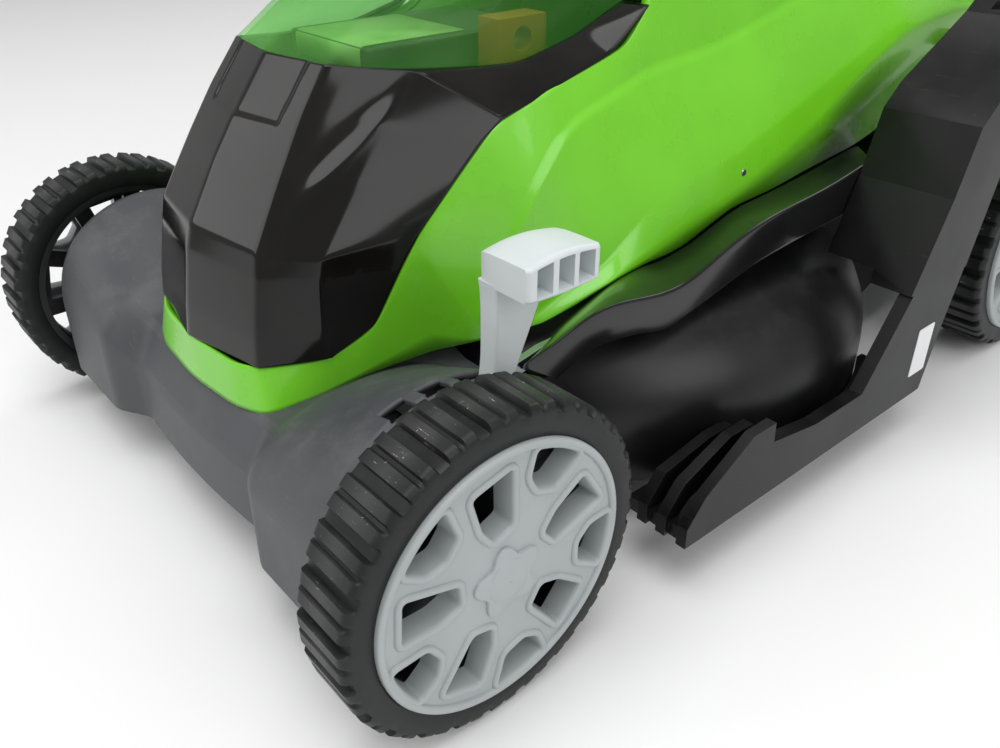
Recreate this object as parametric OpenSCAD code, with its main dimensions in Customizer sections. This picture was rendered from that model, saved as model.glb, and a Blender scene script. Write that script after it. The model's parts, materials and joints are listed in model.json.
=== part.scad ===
// Cordless push lawn mower: polymer deck, four wheels on two cranked axles,
// folding handle, battery bay under a hinged lid and a rear grass catcher.
// Datum: ground level under the middle of the footprint, +Y to the rear, +Z up.

/* [Cutting] */
// Length of the blade, tip to tip
cut_w = 344; // [320:1:420]
// Height of the underside of the blade above the ground
blade_z = 45; // [40:1:60]
// Thickness of the blade
blade_t = 3; // [2:0.5:5]
// Gap between blade tip and housing wall
tip_gap = 12; // [8:1:20]
// Wall of the moulded housings
wall = 3; // [2.5:0.5:4]
// Height of the housing roof
roof_z = 115; // [110:1:125]
// Height of the lower rim of the deck
skirt_z = 30; // [25:1:35]

/* [Wheels] */
// Distance between the axles
wheelbase = 505; // [490:1:620]
// Radius of the front wheels over the tread
front_r = 76; // [70:1:84]
// Width of the front tyres
front_w = 33; // [28:1:40]
// Radius of the rear wheels over the tread
rear_r = 89; // [82:1:96]
// Width of the rear tyres
rear_w = 40; // [32:1:41]
// Height of the tyre above the rim
tyre_h = 14; // [10:1:18]
// Depth of the tread
tread_h = 3; // [2:0.5:4]
// Number of tread blocks round a tyre
tread_n = 24; // [20:2:28]
// Diameter of the axle rods
axle_d = 10; // [8:0.5:12]

/* [Height adjustment] */
// Distance from the crank pivot forward to the axle
crank_reach = 37; // [32:1:40]
// Distance from the crank pivot up to the axle
crank_rise = 8; // [4:1:12]
// Length of the arms that carry the link rod
link_arm = 45; // [40:1:50]
// Thickness of the height lever
lever_t = 6; // [4:0.5:7]

/* [Handle] */
// Slope of the handle
handle_angle = 45; // [40:1:50]
// Length of the lower handle tubes
lower_l = 450; // [420:1:540]
// Length of the upper handle
upper_l = 560; // [520:1:680]
// Diameter of the handle tubes
tube_d = 22; // [18:1:22]
// Wall of the handle tubes
tube_wall = 1.6; // [1.2:0.2:2.4]
// Diameter of the handle bolts
bolt_d = 10; // [8:0.5:10]
// Outer diameter of the foam grip
grip_d = 30; // [26:1:32]
// Length of the switch lever from pivot to cross bar
bail_l = 98; // [90:1:98]

/* [Battery] */
// Width of the battery pack
pack_w = 72; // [60:1:74]
// Length of the battery pack
pack_l = 108; // [90:1:110]
// Height of the battery pack
pack_h = 74; // [70:1:80]

/* [Catcher] */
// Length of the grass catcher
catcher_l = 338; // [300:1:420]
// Height of the grass catcher's lid above the ground
catcher_z = 320; // [310:1:360]

/* [Fits] */
// Radial clearance of everything that turns on a pin or shaft
running = 0.05; // [0.02:0.01:0.1]
// Gap beside parts that move past each other
side_gap = 0.6; // [0.4:0.1:1]
// Gap between housings that meet
seam = 0.5; // [0.3:0.1:0.8]

/* [Hidden] */
$fn = 48;
smooth_fn = 96;
far = 500;
axle_r = axle_d / 2;
bolt_r = bolt_d / 2;
tube_r = tube_d / 2;
motor_r = 45;
eye_w = tube_r + 0.5;

// Stations along Y, measured from the axles
housing_r = cut_w / 2 + tip_gap + wall + 1;
front_axle = -(housing_r + 52);
rear_axle = front_axle + wheelbase;
front_pivot = [front_axle + crank_reach, front_r - crank_rise];
rear_pivot = [rear_axle + crank_reach, rear_r - crank_rise];

// Stations across X, measured from the outer face of the side frames
side_x = housing_r + 18;
front_in = side_x - 6 - front_w;
rear_in = side_x - 11 - rear_w;
fender_x = side_x - 46;
rail_out = side_x - 56;
cover_x = side_x - 88;
lane_x = side_x - 72;
lever_x = side_x - 59;
duct_x = cover_x - wall - 1;
outer_lane = side_x - 31;
inner_lane = side_x - 56;
link_t = 4;
pin_r = 3;
flap_w = duct_x - 8;

// Handle frame: origin at the lower pivot, Y along the tubes
pivot_y = rear_axle - 45;
pivot_z = rear_r + 166;
handle_end = (lower_l + upper_l) * cos(handle_angle) + grip_d / 2;

// The datum sits under the middle of the footprint
front_end = front_axle - front_r / cos(180 / tread_n);
rear_end = pivot_y + handle_end;
blade_y = -(front_end + rear_end) / 2;

function f(d) = front_axle + d;
function r(d) = rear_axle + d;

// ---- helpers ----

// Everything is laid out from the blade axis and then moved to the datum
module placed() {
    translate([0, blade_y, 0]) children();
}

module left() {
    mirror([1, 0, 0]) children();
}

module both() {
    children();
    mirror([1, 0, 0]) children();
}

// A side outline in Y and Z, carried across from x0 to x1
module across(x0, x1) {
    translate([x0, 0, 0]) rotate([90, 0, 90]) linear_extrude(x1 - x0) children();
}

// A round bar along X
module bar(x0, x1, radius, y, z) {
    translate([x0, y, z]) rotate([0, 90, 0]) cylinder(r = radius, h = x1 - x0);
}

// A closed skin over rings of points that all have the same count
module loft(rings) {
    n = len(rings[0]);
    m = len(rings);
    points = [for (ring = rings) each ring];
    first = [for (i = [0 : n - 1]) i];
    last = [for (i = [n - 1 : -1 : 0]) (m - 1) * n + i];
    walls = [for (k = [0 : m - 2], i = [0 : n - 1], s = [0, 1])
        let (j = (i + 1) % n, a = k * n)
        s == 0 ? [a + i, a + n + i, a + n + j] : [a + i, a + n + j, a + j]];
    polyhedron(points, concat([first, last], walls), convexity = 8);
}

function backwards(list) = [for (i = [len(list) - 1 : -1 : 0]) list[i]];

// Points of a half ellipse from angle 0 to 180
function half_ellipse(cy, cz, ry, rz, steps) =
    [for (i = [0 : steps]) [cy - ry * cos(180 * i / steps), cz + rz * sin(180 * i / steps)]];

// ---- housings ----

shoulder = 60;

// Half section of the blade housing, grown inwards by t
function dome_outline(t) = concat(
    [[0, 0], [housing_r - t, 0], [housing_r - t, roof_z - shoulder]],
    [for (a = [10 : 10 : 90]) [housing_r - shoulder + (shoulder - t) * cos(a),
        roof_z - shoulder + (shoulder - t) * sin(a)]],
    [[0, roof_z - t]]);

module dome(t, base) {
    intersection() {
        rotate_extrude($fn = smooth_fn) polygon(dome_outline(t));
        translate([-far, -far, base]) cube([2 * far, 2 * far, far]);
    }
}

mouth_top = pivot_z - 33;

module duct_outer() {
    polygon([[75, 60], [75, roof_z - 2], [housing_r - 65, roof_z + 2], [r(-28), mouth_top + 5],
        [r(-12), mouth_top + 19], [r(6), mouth_top + 19], [r(60), 104], [r(60), 98],
        [housing_r - 8, skirt_z], [housing_r - 20, skirt_z]]);
}

module duct_inner() {
    polygon([[75, 0], [housing_r - 13, 0], [housing_r - 7, skirt_z + 6], [r(70), 111],
        [r(40), mouth_top], [r(-22), mouth_top], [housing_r - 63, roof_z - 3], [75, roof_z - 4]]);
}

// Flap rod axis, on ears at the top of the discharge duct
flap_y = r(2);
flap_z = mouth_top + 27;
flap_rod_r = 3;

module deck() {
    color("#2c2d2f") placed() difference() {
        union() {
            dome(0, skirt_z);
            across(-duct_x, duct_x) duct_outer();
            both() deck_rear_saddle();
            both() across(flap_w + 1, flap_w + 7) flap_ear();
        }
        dome(wall + 1, -1);
        across(4 - duct_x, duct_x - 4) duct_inner();
        translate([0, 0, roof_z - 10]) cylinder(r = 26, h = 20);
        bar(-far, far, flap_rod_r, flap_y, flap_z);
        bar(-far, far, axle_r + running, rear_pivot[0], rear_pivot[1]);
    }
}

module deck_rear_saddle() {
    translate([duct_x - 4, rear_pivot[0] - 14, rear_pivot[1]])
        cube([16, 26, 34]);
}

module flap_ear() {
    translate([flap_y, flap_z]) circle(r = 7);
    translate([flap_y - 7, mouth_top + 10]) square([14, flap_z - mouth_top - 10]);
}

// Outline of a front fender at x, drawn in by t
fender_top = [[52, 104], [66, 108], [80, 112], [136, 134], [150, 138], [157, 135], [160, 129]];
fender_front = [[52, -40], [58, -48], [66, -53], [90, -55], [150, -55], [157, -52], [160, -44]];

function fender_ring(x, t, low) =
    let (k = x - side_x + 206, top = lookup(k, fender_top) - t,
        y0 = f(lookup(k, fender_front)) + t, y1 = f(73) - t)
    [for (p = concat([[y0, low]], half_ellipse((y0 + y1) / 2, 77, (y1 - y0) / 2, top - 77, 16),
        [[y1, low]])) [x, p[0], p[1]]];

fender_stations = [side_x - 154, side_x - 148, side_x - 140, side_x - 126, side_x - 70,
    side_x - 56, side_x - 49, fender_x];

module fender(t, low) {
    loft(backwards([for (i = [0 : len(fender_stations) - 1])
        fender_ring(fender_stations[i] - (i > 4 ? t : 0), t, low)]));
}

module nose_outline(t, low) {
    polygon([[f(-42) + t, low], [f(-42) + t, 70 - t / 2], [f(-29) + t, 93 - t], [f(18), 103 - t],
        [f(90), 107 - t], [f(90), low]]);
}

slot_w = lever_t + 3;
nose_half = side_x - 142;

module front_apron() {
    color("#595a5e") placed() difference() {
        union() {
            difference() {
                union() {
                    both() fender(0, skirt_z + 5);
                    across(-nose_half, nose_half) nose_outline(0, skirt_z + 5);
                }
                both() fender(wall, 0);
                across(-nose_half, nose_half) nose_outline(wall, 0);
            }
            both() apron_saddle();
        }
        translate([0, 0, -1]) cylinder(r = housing_r + seam, h = far, $fn = smooth_fn);
        bar(-far, far, axle_r + running, front_pivot[0], front_pivot[1]);
        both() translate([fender_x - 10, front_pivot[0] - axle_r - 1, 0])
            cube([20, axle_d + 2, front_pivot[1] + axle_r + 1]);
        translate([lever_x - slot_w / 2, front_pivot[0] - 66, 100]) cube([slot_w, 94, 60]);
        translate([lane_x - link_t, f(34), 96]) cube([lever_x - lane_x + link_t, 31, 44]);
        both() translate([lane_x - 7, f(60), 96]) cube([20, 40, 44]);
        cover_skin(-seam, seam);
    }
}

module apron_saddle() {
    intersection() {
        translate([fender_x - 76, front_pivot[0] - 12, front_pivot[1]]) cube([16, 24, 60]);
        fender(0, 0);
    }
}

module axle_clips() {
    color("#1d1e20") placed() {
        both() clip(fender_x - 76, front_pivot);
        both() clip(duct_x - 4, rear_pivot);
    }
}

module clip(x, pivot) {
    difference() {
        translate([x, pivot[0] - 12, pivot[1] - 10]) cube([16, 24, 10]);
        bar(x - 1, x + 17, axle_r + running, pivot[0], pivot[1]);
    }
}

// ---- side frames and rails ----

comb_x = [side_x - 28, side_x - 16, side_x - 3];
pillar_in = side_x - 56;

module plate_outline() {
    polygon([[-127, skirt_z], [-127, 46], [-120, 52], [-72, 65], [-25, 57], [20, 57], [55, 107],
        [75, 158], [87, 195], [101, 207], [pivot_y - 50, pivot_z - 17], [pivot_y - 22, pivot_z - 17],
        [pivot_y - 68, pivot_z - 62], [130, 161], [104, 70], [95, skirt_z]]);
}

module pillar_outline() {
    polygon([[52, 107], [75, 158], [87, 195], [101, 207], [pivot_y - 58, pivot_z - 17],
        [pivot_y - 8, pivot_z + 19], [pivot_y + 8, pivot_z + 16], [pivot_y + 16, pivot_z - 12],
        [pivot_y - 22, pivot_z - 17], [pivot_y - 68, pivot_z - 62], [130, 161], [116, 107]]);
}

module side_frame() {
    difference() {
        union() {
            across(side_x - 8, side_x) plate_outline();
            across(pillar_in, side_x) pillar_outline();
            side_flange();
            for (x = comb_x) across(x - 3, x + 3) comb_outline(x);
        }
        translate([pillar_in + wall, 0, 0]) across(0, side_x - pillar_in - wall - 8)
            translate([3, -4]) pillar_hollow();
        translate([pillar_in + 12.5, 0, pivot_z - 15]) cube([far, far, far]);
        translate([0, 0, -1]) cylinder(r = housing_r + seam, h = roof_z + 1, $fn = smooth_fn);
        bar(outer_lane - tube_r - 2, far, tube_r + 12, pivot_y, pivot_z);
        bar(0, far, bolt_r, pivot_y, pivot_z);
    }
}

module pillar_hollow() {
    polygon([[75, 100], [92, 158], [101, 193], [pivot_y - 58, pivot_z - 34],
        [pivot_y - 66, pivot_z - 50], [126, 161], [110, 100]]);
}

module side_flange() {
    translate([side_x - 40, -127, skirt_z]) cube([34, 222, 8]);
}

module comb_outline(x) {
    low = lookup(x - side_x, [[-28, 62], [-3, 76]]);
    polygon([[-130, skirt_z], [-130, 42], [-118, 56], [-84, low], [-66, low], [-62, skirt_z]]);
}

module side_frame_r() {
    color("#1c1d1f") placed() side_frame();
}

module side_frame_l() {
    color("#1c1d1f") placed() left() side_frame();
}

module rail_outline() {
    polygon([[f(76), 106], [f(66), 108], [f(66), 129], [f(71), 134], [f(95), 141], [f(113), 141],
        [f(145), 134.5], [f(167), 135], [-35, 149], [-3, 154], [49, 157], [87, 164], [124, 172],
        [124, 150], [78, 135], [46, 133], [-17, 128], [f(162), 113.5], [f(149), 113],
        [f(131), 118], [f(100), 122.5]]);
}

module side_rail() {
    difference() {
        across(cover_x + seam, rail_out - seam) rail_outline();
        across(cover_x + seam + wall, rail_out - seam - wall) translate([0, -wall]) rail_outline();
        translate([lane_x - 7, f(60), 60]) cube([18, 30, 68]);
        across(lane_x - 7, lane_x + 11) translate([110, 100]) square([40, 62]);
    }
}

module side_rail_r() {
    color("#26302b") placed() side_rail();
}

module side_rail_l() {
    color("#26302b") placed() left() side_rail();
}

// ---- covers ----

// Lines of the green cover: x and z against the distance from the front axle
low_x = [[-27, 61], [-2, 69], [18, 75], [50, 80], [86, 92], [103, 106], [143, 118]];
low_z = [[-27, 93.5], [-2, 98.5], [18, 104.5], [50, 108.5], [86, 111], [143, 116]];
chamfer_z = [[86, 130], [104, 177], [123, 201], [150, 213], [188, 223]];
edge_x = [[-27, 54], [2, 70], [25, 78], [40, 82], [49, 84], [91, 88], [174, 90]];
edge_z = [[-27, 116], [2, 118], [25, 130], [40, 158], [49, 173], [91, 216], [174, 240], [190, 259],
    [206, 292]];
// The same lines over the rear half, against the distance from the rear axle
rear_low_z = [[-265, 116], [-140, 116], [-68, 150], [-9, 206]];
rear_step_z = [[-332, 163], [-262, 175], [-154, 211], [-73, 234], [-9, 238]];
rear_chamfer_z = [[-317, 223], [-260, 227], [-191, 244], [-9, 250]];
rear_edge_z = [[-300, 292], [-230, 290], [-140, 278], [-60, 262], [-9, 252]];

w_k = side_x - 206;

function cover_half(y) = let (a = y - front_axle, b = y - rear_axle)
    b > -262 ? [[cover_x, lookup(b, rear_low_z)], [cover_x, lookup(b, rear_step_z) - 14],
            [cover_x - 4, lookup(b, rear_step_z)], [cover_x - 24, lookup(b, rear_chamfer_z)],
            [cover_x - 34, lookup(b, rear_edge_z)]]
    : a > 140 ? [[cover_x, lookup(a, low_z)], [cover_x, lookup(b, rear_step_z) - 20],
            [cover_x - 7, lookup(b, rear_step_z)], [cover_x - 23, lookup(a, chamfer_z)],
            [w_k + lookup(a, edge_x), lookup(a, edge_z)]]
    : let (lo = [w_k + lookup(a, low_x), lookup(a, low_z)],
            hi = [w_k + lookup(a, edge_x), lookup(a, edge_z)],
            mid = a < 86 ? lo + (hi - lo) * 0.8 : [w_k + 100, lookup(a, chamfer_z)])
        [lo, lo + (mid - lo) / 3, lo + (mid - lo) * 2 / 3, mid, hi];

function inset(p, t) = [p[0] - t, p[1] - t];

function cover_ring(y, t, drop) =
    let (half = [for (i = [0 : 4]) i == 0 ? [cover_half(y)[0][0] - t, cover_half(y)[0][1] - drop]
            : inset(cover_half(y)[i], t)])
    concat([for (p = half) [p[0], y, p[1]]], [for (i = [4 : -1 : 0]) [-half[i][0], y, half[i][1]]]);

cover_front = [for (d = [-27, -2, 18, 25, 40, 50, 68, 86, 104, 123, 150, 174, 190, 206]) f(d)];
cover_rear = [for (d = [-255, -230, -191, -154, -100, -73, -40, -9]) r(d)];

// The cover's outer shape drawn in by t, with its lower edge let down by drop
module cover_skin(t, drop) {
    ys = concat(cover_front, cover_rear);
    loft(backwards([for (i = [0 : len(ys) - 1])
        cover_ring(ys[i] + (i == 0 ? t : i == len(ys) - 1 ? -t : 0), t, drop)]));
}

// Side outline of the bay that the nose and the battery lid fill, grown by t
bay_end = 199;
bay_half = 62;

module bay_outline(t) {
    polygon([[f(-60), 116 - t], [f(-27), 116 - t], [f(2), 118 - t], [f(25) + t, 130 - t],
        [f(40) + t, 158], [f(49) + t, 173], [f(91), 216 - t], [f(174), 240 - t],
        [f(190), 254 - t], [f(bay_end), 254 - t], [f(bay_end), far], [f(-60), far]]);
}

// Hinge of the battery lid: two lugs on the cover with a pin between them
lid_rear = f(194);
lid_pivot = [lid_rear - 6, 284];
lug_x = 20;
lug_t = 6;
lid_pin_r = 2.5;

module lid_lug() {
    across(lug_x, lug_x + lug_t) hull() {
        translate(lid_pivot) circle(r = 4.5);
        translate([f(203), 284.5]) circle(r = 2.5);
    }
    bar(0, lug_x + 26, lid_pin_r, lid_pivot[0], lid_pivot[1]);
}

module top_cover() {
    color("#72c62f") placed() {
        cover_shell();
        both() lid_lug();
    }
}

module cover_shell() {
    difference() {
        cover_skin(0, 0);
        cover_skin(wall, 9 * wall);
        across(-far, far) bay_outline(seam);
        intersection() {
            across(-bay_half, bay_half) bay_outline(2 * wall + 1);
            translate([-far, f(-20), 0]) cube([2 * far, bay_end + 20, far]);
        }
        across(-duct_x - seam, duct_x + seam) offset(delta = seam) duct_outer();
        translate([0, gland_y, gland_z]) rotate([0, 90, 0]) cylinder(r = 7 + seam, h = far);
        translate([0, 0, -1]) cylinder(r = housing_r + seam, h = roof_z + 1 + seam, $fn = smooth_fn);
        both() bar(cover_x - 12, cover_x + 5, 2, 9, 165);
    }
}

// Sections of the black nose: front centre, front corner, side corner and rear edge at a height
nose_levels = [[117, -33, 54, -25, 72, 0, 72, 6], [130, -31, 53, -23, 72, 1, 77, 24],
    [158, -26, 51, -18, 70, 3, 81, 39], [173, -22, 50, -14, 69, 7, 83, 48],
    [215, 4, 45, 14, 62, 46, 86, 90], [235, 20, 43, 30, 60, 66, 88, 160]];

function nose_ring(v, t) = let (k = w_k * 0.8)
    [[0, f(v[1]) + t, v[0]], [k + v[2] - t, f(v[3]) + t, v[0]], [k + v[4] - t, f(v[5]) + t / 2, v[0]],
        [k + v[6] - t, f(v[7]) + 2 * t, v[0]], [-k - v[6] + t, f(v[7]) + 2 * t, v[0]],
        [-k - v[4] + t, f(v[5]) + t / 2, v[0]], [-k - v[2] + t, f(v[3]) + t, v[0]]];

module nose_cover() {
    color("#1f1d1b") placed() difference() {
        intersection() {
            loft([for (v = nose_levels) nose_ring(v, 0)]);
            across(-far, far) bay_outline(0);
        }
        loft([for (v = nose_levels) nose_ring([v[0] == 117 ? 100 : v[0] == 235 ? 240 : v[0],
            v[1], v[2], v[3], v[4], v[5], v[6], v[7] + 12], wall)]);
        translate([0, f(50) + 62, 175]) cube([110, 124, 300], center = true);
    }
}

// ---- battery bay ----

// Sections of the lid: distance from the front axle, foot width and height, top width and height
lid_stations = [[34, 43, 242.5, 42, 244], [61, 56, 240, 38, 266], [90, 65, 238, 46, 280],
    [119, 71, 237, 54, 287], [176, 74, 251, 60, 290], [191, 74, 258, 62, 290]];

function lid_ring(v, t) = let (k = w_k * 0.8, low = t > 0 ? 4 : 0)
    [[k + v[1] - t, f(v[0]), v[2] - low], [k + v[3] - t, f(v[0]), v[4] - t],
        [-k - v[3] + t, f(v[0]), v[4] - t], [-k - v[1] + t, f(v[0]), v[2] - low]];

module battery_lid() {
    color("#8fd68a", 0.5) placed() difference() {
        union() {
            difference() {
                loft(backwards([for (v = lid_stations) lid_ring(v, 0)]));
                loft(backwards([for (v = lid_stations) lid_ring(
                    [v[0] + (v[0] == 34 ? 6 : v[0] == 191 ? -2.5 : 0), v[1], v[2], v[3], v[4]], 2.5)]));
            }
            both() bar(lug_x + lug_t + side_gap, lug_x + 24, lid_pin_r + 2, lid_pivot[0], lid_pivot[1]);
        }
        bar(-far, far, lid_pin_r + running, lid_pivot[0], lid_pivot[1]);
        both() translate([lug_x - side_gap, lid_pivot[0] - 12, lid_pivot[1] - 8])
            cube([lug_t + 2 * side_gap, 30, 30]);
    }
}

pack_x = -12;
pack_y = f(120);
pack_z = 168;
tray_gap = 1;
tray_t = 2.5;
key_x = 38;
key_y = f(145);

module battery_tray() {
    color("#232426") placed() difference() {
        translate([-58, pack_y - pack_l / 2 - 12, pack_z - tray_t - 6]) cube([116, pack_l + 20, 62]);
        translate([pack_x - pack_w / 2 - tray_gap, pack_y - pack_l / 2 - tray_gap, pack_z - 1])
            cube([pack_w + 2 * tray_gap, pack_l + 2 * tray_gap, far]);
        translate([key_x - 9, key_y - 17, pack_z]) cube([18, 34, far]);
        translate([pack_x, pack_y - pack_l / 2 - 6.5, pack_z + 30]) cube([30.8, 8.2, far], center = true);
        translate([pack_x - 15.4, pack_y - pack_l / 2 - 10.6, pack_z + 38]) cube([30.8, 8.2, far]);
    }
}

module battery_contacts() {
    color("#b8862b") placed() for (i = [-1.5 : 1 : 1.5])
        translate([pack_x + i * 12 - 1, pack_y + 20, pack_z - 1]) cube([2, 14, 6]);
}

module battery_pack() {
    color("#3a3d40") placed() difference() {
        translate([pack_x - pack_w / 2, pack_y - pack_l / 2, pack_z]) cube([pack_w, pack_l, pack_h]);
        for (i = [-1.5 : 1 : 1.5])
            translate([pack_x + i * 12 - 2, pack_y + 18, pack_z - 1]) cube([4, 18, 7]);
    }
}

module battery_button() {
    color("#2f3133") placed()
        translate([pack_x - 15, pack_y - pack_l / 2 - 10.2, pack_z + 43]) cube([30, 7.4, 14]);
}

module safety_key() {
    color("#b4562a") placed() difference() {
        union() {
            translate([key_x - 4, key_y - 12, pack_z + 22]) cube([8, 24, 46]);
            translate([key_x - 8, key_y - 16, pack_z + 57]) cube([16, 32, 26]);
        }
        bar(key_x - 10, key_x + 10, 6, key_y, pack_z + 72);
    }
}

module control_board() {
    color("#1f6b3a") placed() {
        translate([-42, 62, roof_z + 4]) cube([84, 46, 2]);
        for (x = [-26, 0, 26]) translate([x, 84, roof_z + 6]) cylinder(r = 8, h = 22);
        both() for (y = [66, 86]) translate([36, y, roof_z]) cylinder(r = 3, h = 4);
    }
}

// ---- motor and blade ----

shaft_r = 6;
shaft_top = roof_z + 62;

module motor_housing() {
    color("#8f9499") placed() difference() {
        union() {
            translate([0, 0, roof_z]) cylinder(r = motor_r + 12, h = 4);
            translate([0, 0, roof_z]) cylinder(r = motor_r, h = 70);
            translate([0, 0, roof_z - 8]) cylinder(r = 22, h = 10);
            for (a = [0 : 30 : 330]) rotate(a)
                translate([motor_r - 1, -1.5, roof_z + 3]) cube([5, 3, 56]);
        }
        translate([0, 0, roof_z - 20]) cylinder(r = shaft_r + running, h = 20 + 62 + 2);
        for (a = [45 : 90 : 315]) rotate(a)
            translate([motor_r + 6.5, 0, roof_z - 1]) cylinder(r = 2, h = 10);
    }
}

module motor_shaft() {
    color("silver") placed()
        translate([0, 0, blade_z + blade_t]) cylinder(r = shaft_r, h = shaft_top - blade_z - blade_t);
}

module fan_adapter() {
    color("#3f4144") placed() translate([0, 0, blade_z + blade_t]) difference() {
        union() {
            cylinder(r = 62, h = 3);
            cylinder(r = 18, h = 34);
            for (a = [0 : 45 : 315]) rotate(a) translate([16, -1.2, 2]) cube([44, 2.4, 16]);
        }
        translate([0, 0, -1]) cylinder(r = shaft_r, h = 50);
    }
}

module cutting_blade() {
    color("#55595d") placed() difference() {
        union() {
            translate([0, 0, blade_z]) linear_extrude(blade_t) intersection() {
                square([cut_w, 50], center = true);
                circle(r = cut_w / 2, $fn = smooth_fn);
            }
            for (a = [0, 180]) rotate(a)
                across(cut_w / 2 - 80, cut_w / 2 - 12) blade_sail();
        }
        translate([0, 0, blade_z - 1]) cylinder(r = 4.2, h = blade_t + 2);
    }
}

// Upturned rear edge of the blade that lifts the grass
module blade_sail() {
    polygon([[14, blade_z + blade_t - 0.5], [24, blade_z + blade_t - 0.5], [25, blade_z + 14],
        [22, blade_z + 14]]);
}

module blade_bolt() {
    color("#9aa0a6") placed() {
        translate([0, 0, blade_z - 3]) cylinder(r = 14, h = 3);
        translate([0, 0, blade_z - 10]) cylinder(r = 9, h = 7, $fn = 6);
        translate([0, 0, blade_z - 1]) cylinder(r = 4, h = blade_t + 1);
    }
}

// ---- small chassis pieces ----

module screws() {
    color("#3c3f42") placed() {
        for (a = [45 : 90 : 315]) rotate(a) translate([motor_r + 6.5, 0, 0]) {
            translate([0, 0, roof_z]) cylinder(r = 2, h = 4);
            translate([0, 0, roof_z + 4]) cylinder(r = 3.6, h = 3);
        }
        both() bar(cover_x - 10, cover_x - 1, 2, 9, 165);
    }
}

module flap_rod() {
    color("silver") placed() bar(-flap_w - 9, flap_w + 9, flap_rod_r, flap_y, flap_z);
}

module pivot_bolts() {
    color("#6b6f73") placed() both() {
        bar(pillar_in - 5.5, outer_lane + tube_r + 13, bolt_r, pivot_y, pivot_z);
        bar(pillar_in - 5.5, pillar_in, bolt_r + 4, pivot_y, pivot_z);
    }
}

// Inlet where the handle cable would enter the cover
gland_y = r(-30);
gland_z = pivot_z - 50;

module cable_gland() {
    color("#17181a") placed() translate([cover_x - wall, gland_y, gland_z]) rotate([0, 90, 0])
        difference() {
            union() {
                cylinder(r = 7, h = 16);
                translate([0, 0, wall]) cylinder(r = 9, h = 3);
            }
            translate([0, 0, -1]) cylinder(r = 3.6, h = 30);
        }
}

// ---- cranked axles ----

// A flat web across X between two points of the side view
module web(x0, x1, p, q, radius) {
    hull() {
        bar(x0, x1, radius, p[0], p[1]);
        bar(x0, x1, radius, q[0], q[1]);
    }
}

module crank(pivot, wheel_in, wheel_w, one_arm) {
    hub_end = wheel_in + wheel_w - 3;
    axle = [pivot[0] - crank_reach, pivot[1] + crank_rise];
    bar(-wheel_in + 2, wheel_in - 2, axle_r, pivot[0], pivot[1]);
    both() {
        web(wheel_in - 5.5, wheel_in - 2, pivot, axle, axle_r + 3);
        bar(wheel_in - 5.5, hub_end, axle_r, axle[0], axle[1]);
    }
    web(lane_x + 2.5, lane_x + 6, pivot, pivot + [0, link_arm], axle_r + 2);
    bar(lane_x - 4.5, lane_x + 3, pin_r, pivot[0], pivot[1] + link_arm);
}

module front_axle_rod() {
    color("#8d9399") placed() crank(front_pivot, front_in, front_w);
}

module rear_axle_rod() {
    color("#8d9399") placed() crank(rear_pivot, rear_in, rear_w);
}

module axle_nut(x, y, z) {
    translate([x, y, z]) rotate([0, 90, 0]) difference() {
        cylinder(r = 8.5, h = 4.5, $fn = 6);
        translate([0, 0, -1]) cylinder(r = axle_r, h = 10);
    }
}

module front_axle_nuts() {
    color("#9aa0a6") placed() both()
        axle_nut(front_in + front_w - 7.5, front_axle, front_r);
}

module rear_axle_nuts() {
    color("#9aa0a6") placed() both()
        axle_nut(rear_in + rear_w - 7.5, rear_axle, rear_r);
}

// Link rod, bent to run inside the side rail
link_path = [[front_pivot[0], front_pivot[1] + link_arm], [f(78), 121], [f(150), 123], [f(180), 127],
    [-17, 138], [78, 147], [r(-100), 150], [rear_pivot[0], rear_pivot[1] + link_arm]];
link_rear = link_path[len(link_path) - 1];

module link_rod() {
    color("#7d8388") placed() difference() {
        union() {
            for (i = [0 : len(link_path) - 2])
                web(lane_x - link_t / 2, lane_x + link_t / 2, link_path[i], link_path[i + 1], 3.5);
            for (p = [link_path[0], link_rear])
                bar(lane_x - link_t / 2, lane_x + link_t / 2, 7.5, p[0], p[1]);
        }
        bar(lane_x - 5, lane_x + 5, pin_r + running, link_path[0][0], link_path[0][1]);
        bar(lane_x - 5, lane_x + 5, pin_r + side_gap, link_rear[0], link_rear[1]);
    }
}

// ---- height lever ----

knob_z = front_pivot[1] + 107;

module lever_outline() {
    y = front_pivot[0];
    z = front_pivot[1];
    polygon([[y - 6.5, z - 4], [y - 6.5, z + 72], [y - 3, knob_z], [y + 4, knob_z], [y + 4, knob_z + 10],
        [y + 28, knob_z + 10], [y + 28, knob_z], [y + 35, knob_z], [y + 6.5, z + 72], [y + 6.5, z - 4]]);
}

module height_lever() {
    color("#c9d2d4") placed() difference() {
        union() {
            across(lever_x - lever_t / 2, lever_x + lever_t / 2) lever_outline();
            bar(lever_x - lever_t / 2, lever_x + lever_t / 2, axle_r + 6, front_pivot[0], front_pivot[1]);
        }
        bar(lever_x - 10, lever_x + 10, axle_r, front_pivot[0], front_pivot[1]);
    }
}

module height_knob() {
    y = front_pivot[0];
    color("#dfe8ea") placed() difference() {
        hull() {
            for (x = [lever_x - 1, lever_x + 23], d = [1, 34])
                translate([x, y + d, knob_z]) cylinder(r = 4, h = 12, $fn = 32);
            translate([lever_x + 2, y + 4, knob_z]) cube([18, 26, 17]);
        }
        across(lever_x - lever_t / 2 - 0.2, lever_x + lever_t / 2 + 0.2) translate([y + 3.8, knob_z - 1])
            square([24.4, 11.2]);
        for (i = [0 : 2]) translate([lever_x + 13, y + 3 + i * 11, knob_z + 3]) cube([20, 8, 9]);
    }
}

// ---- wheels ----

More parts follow.
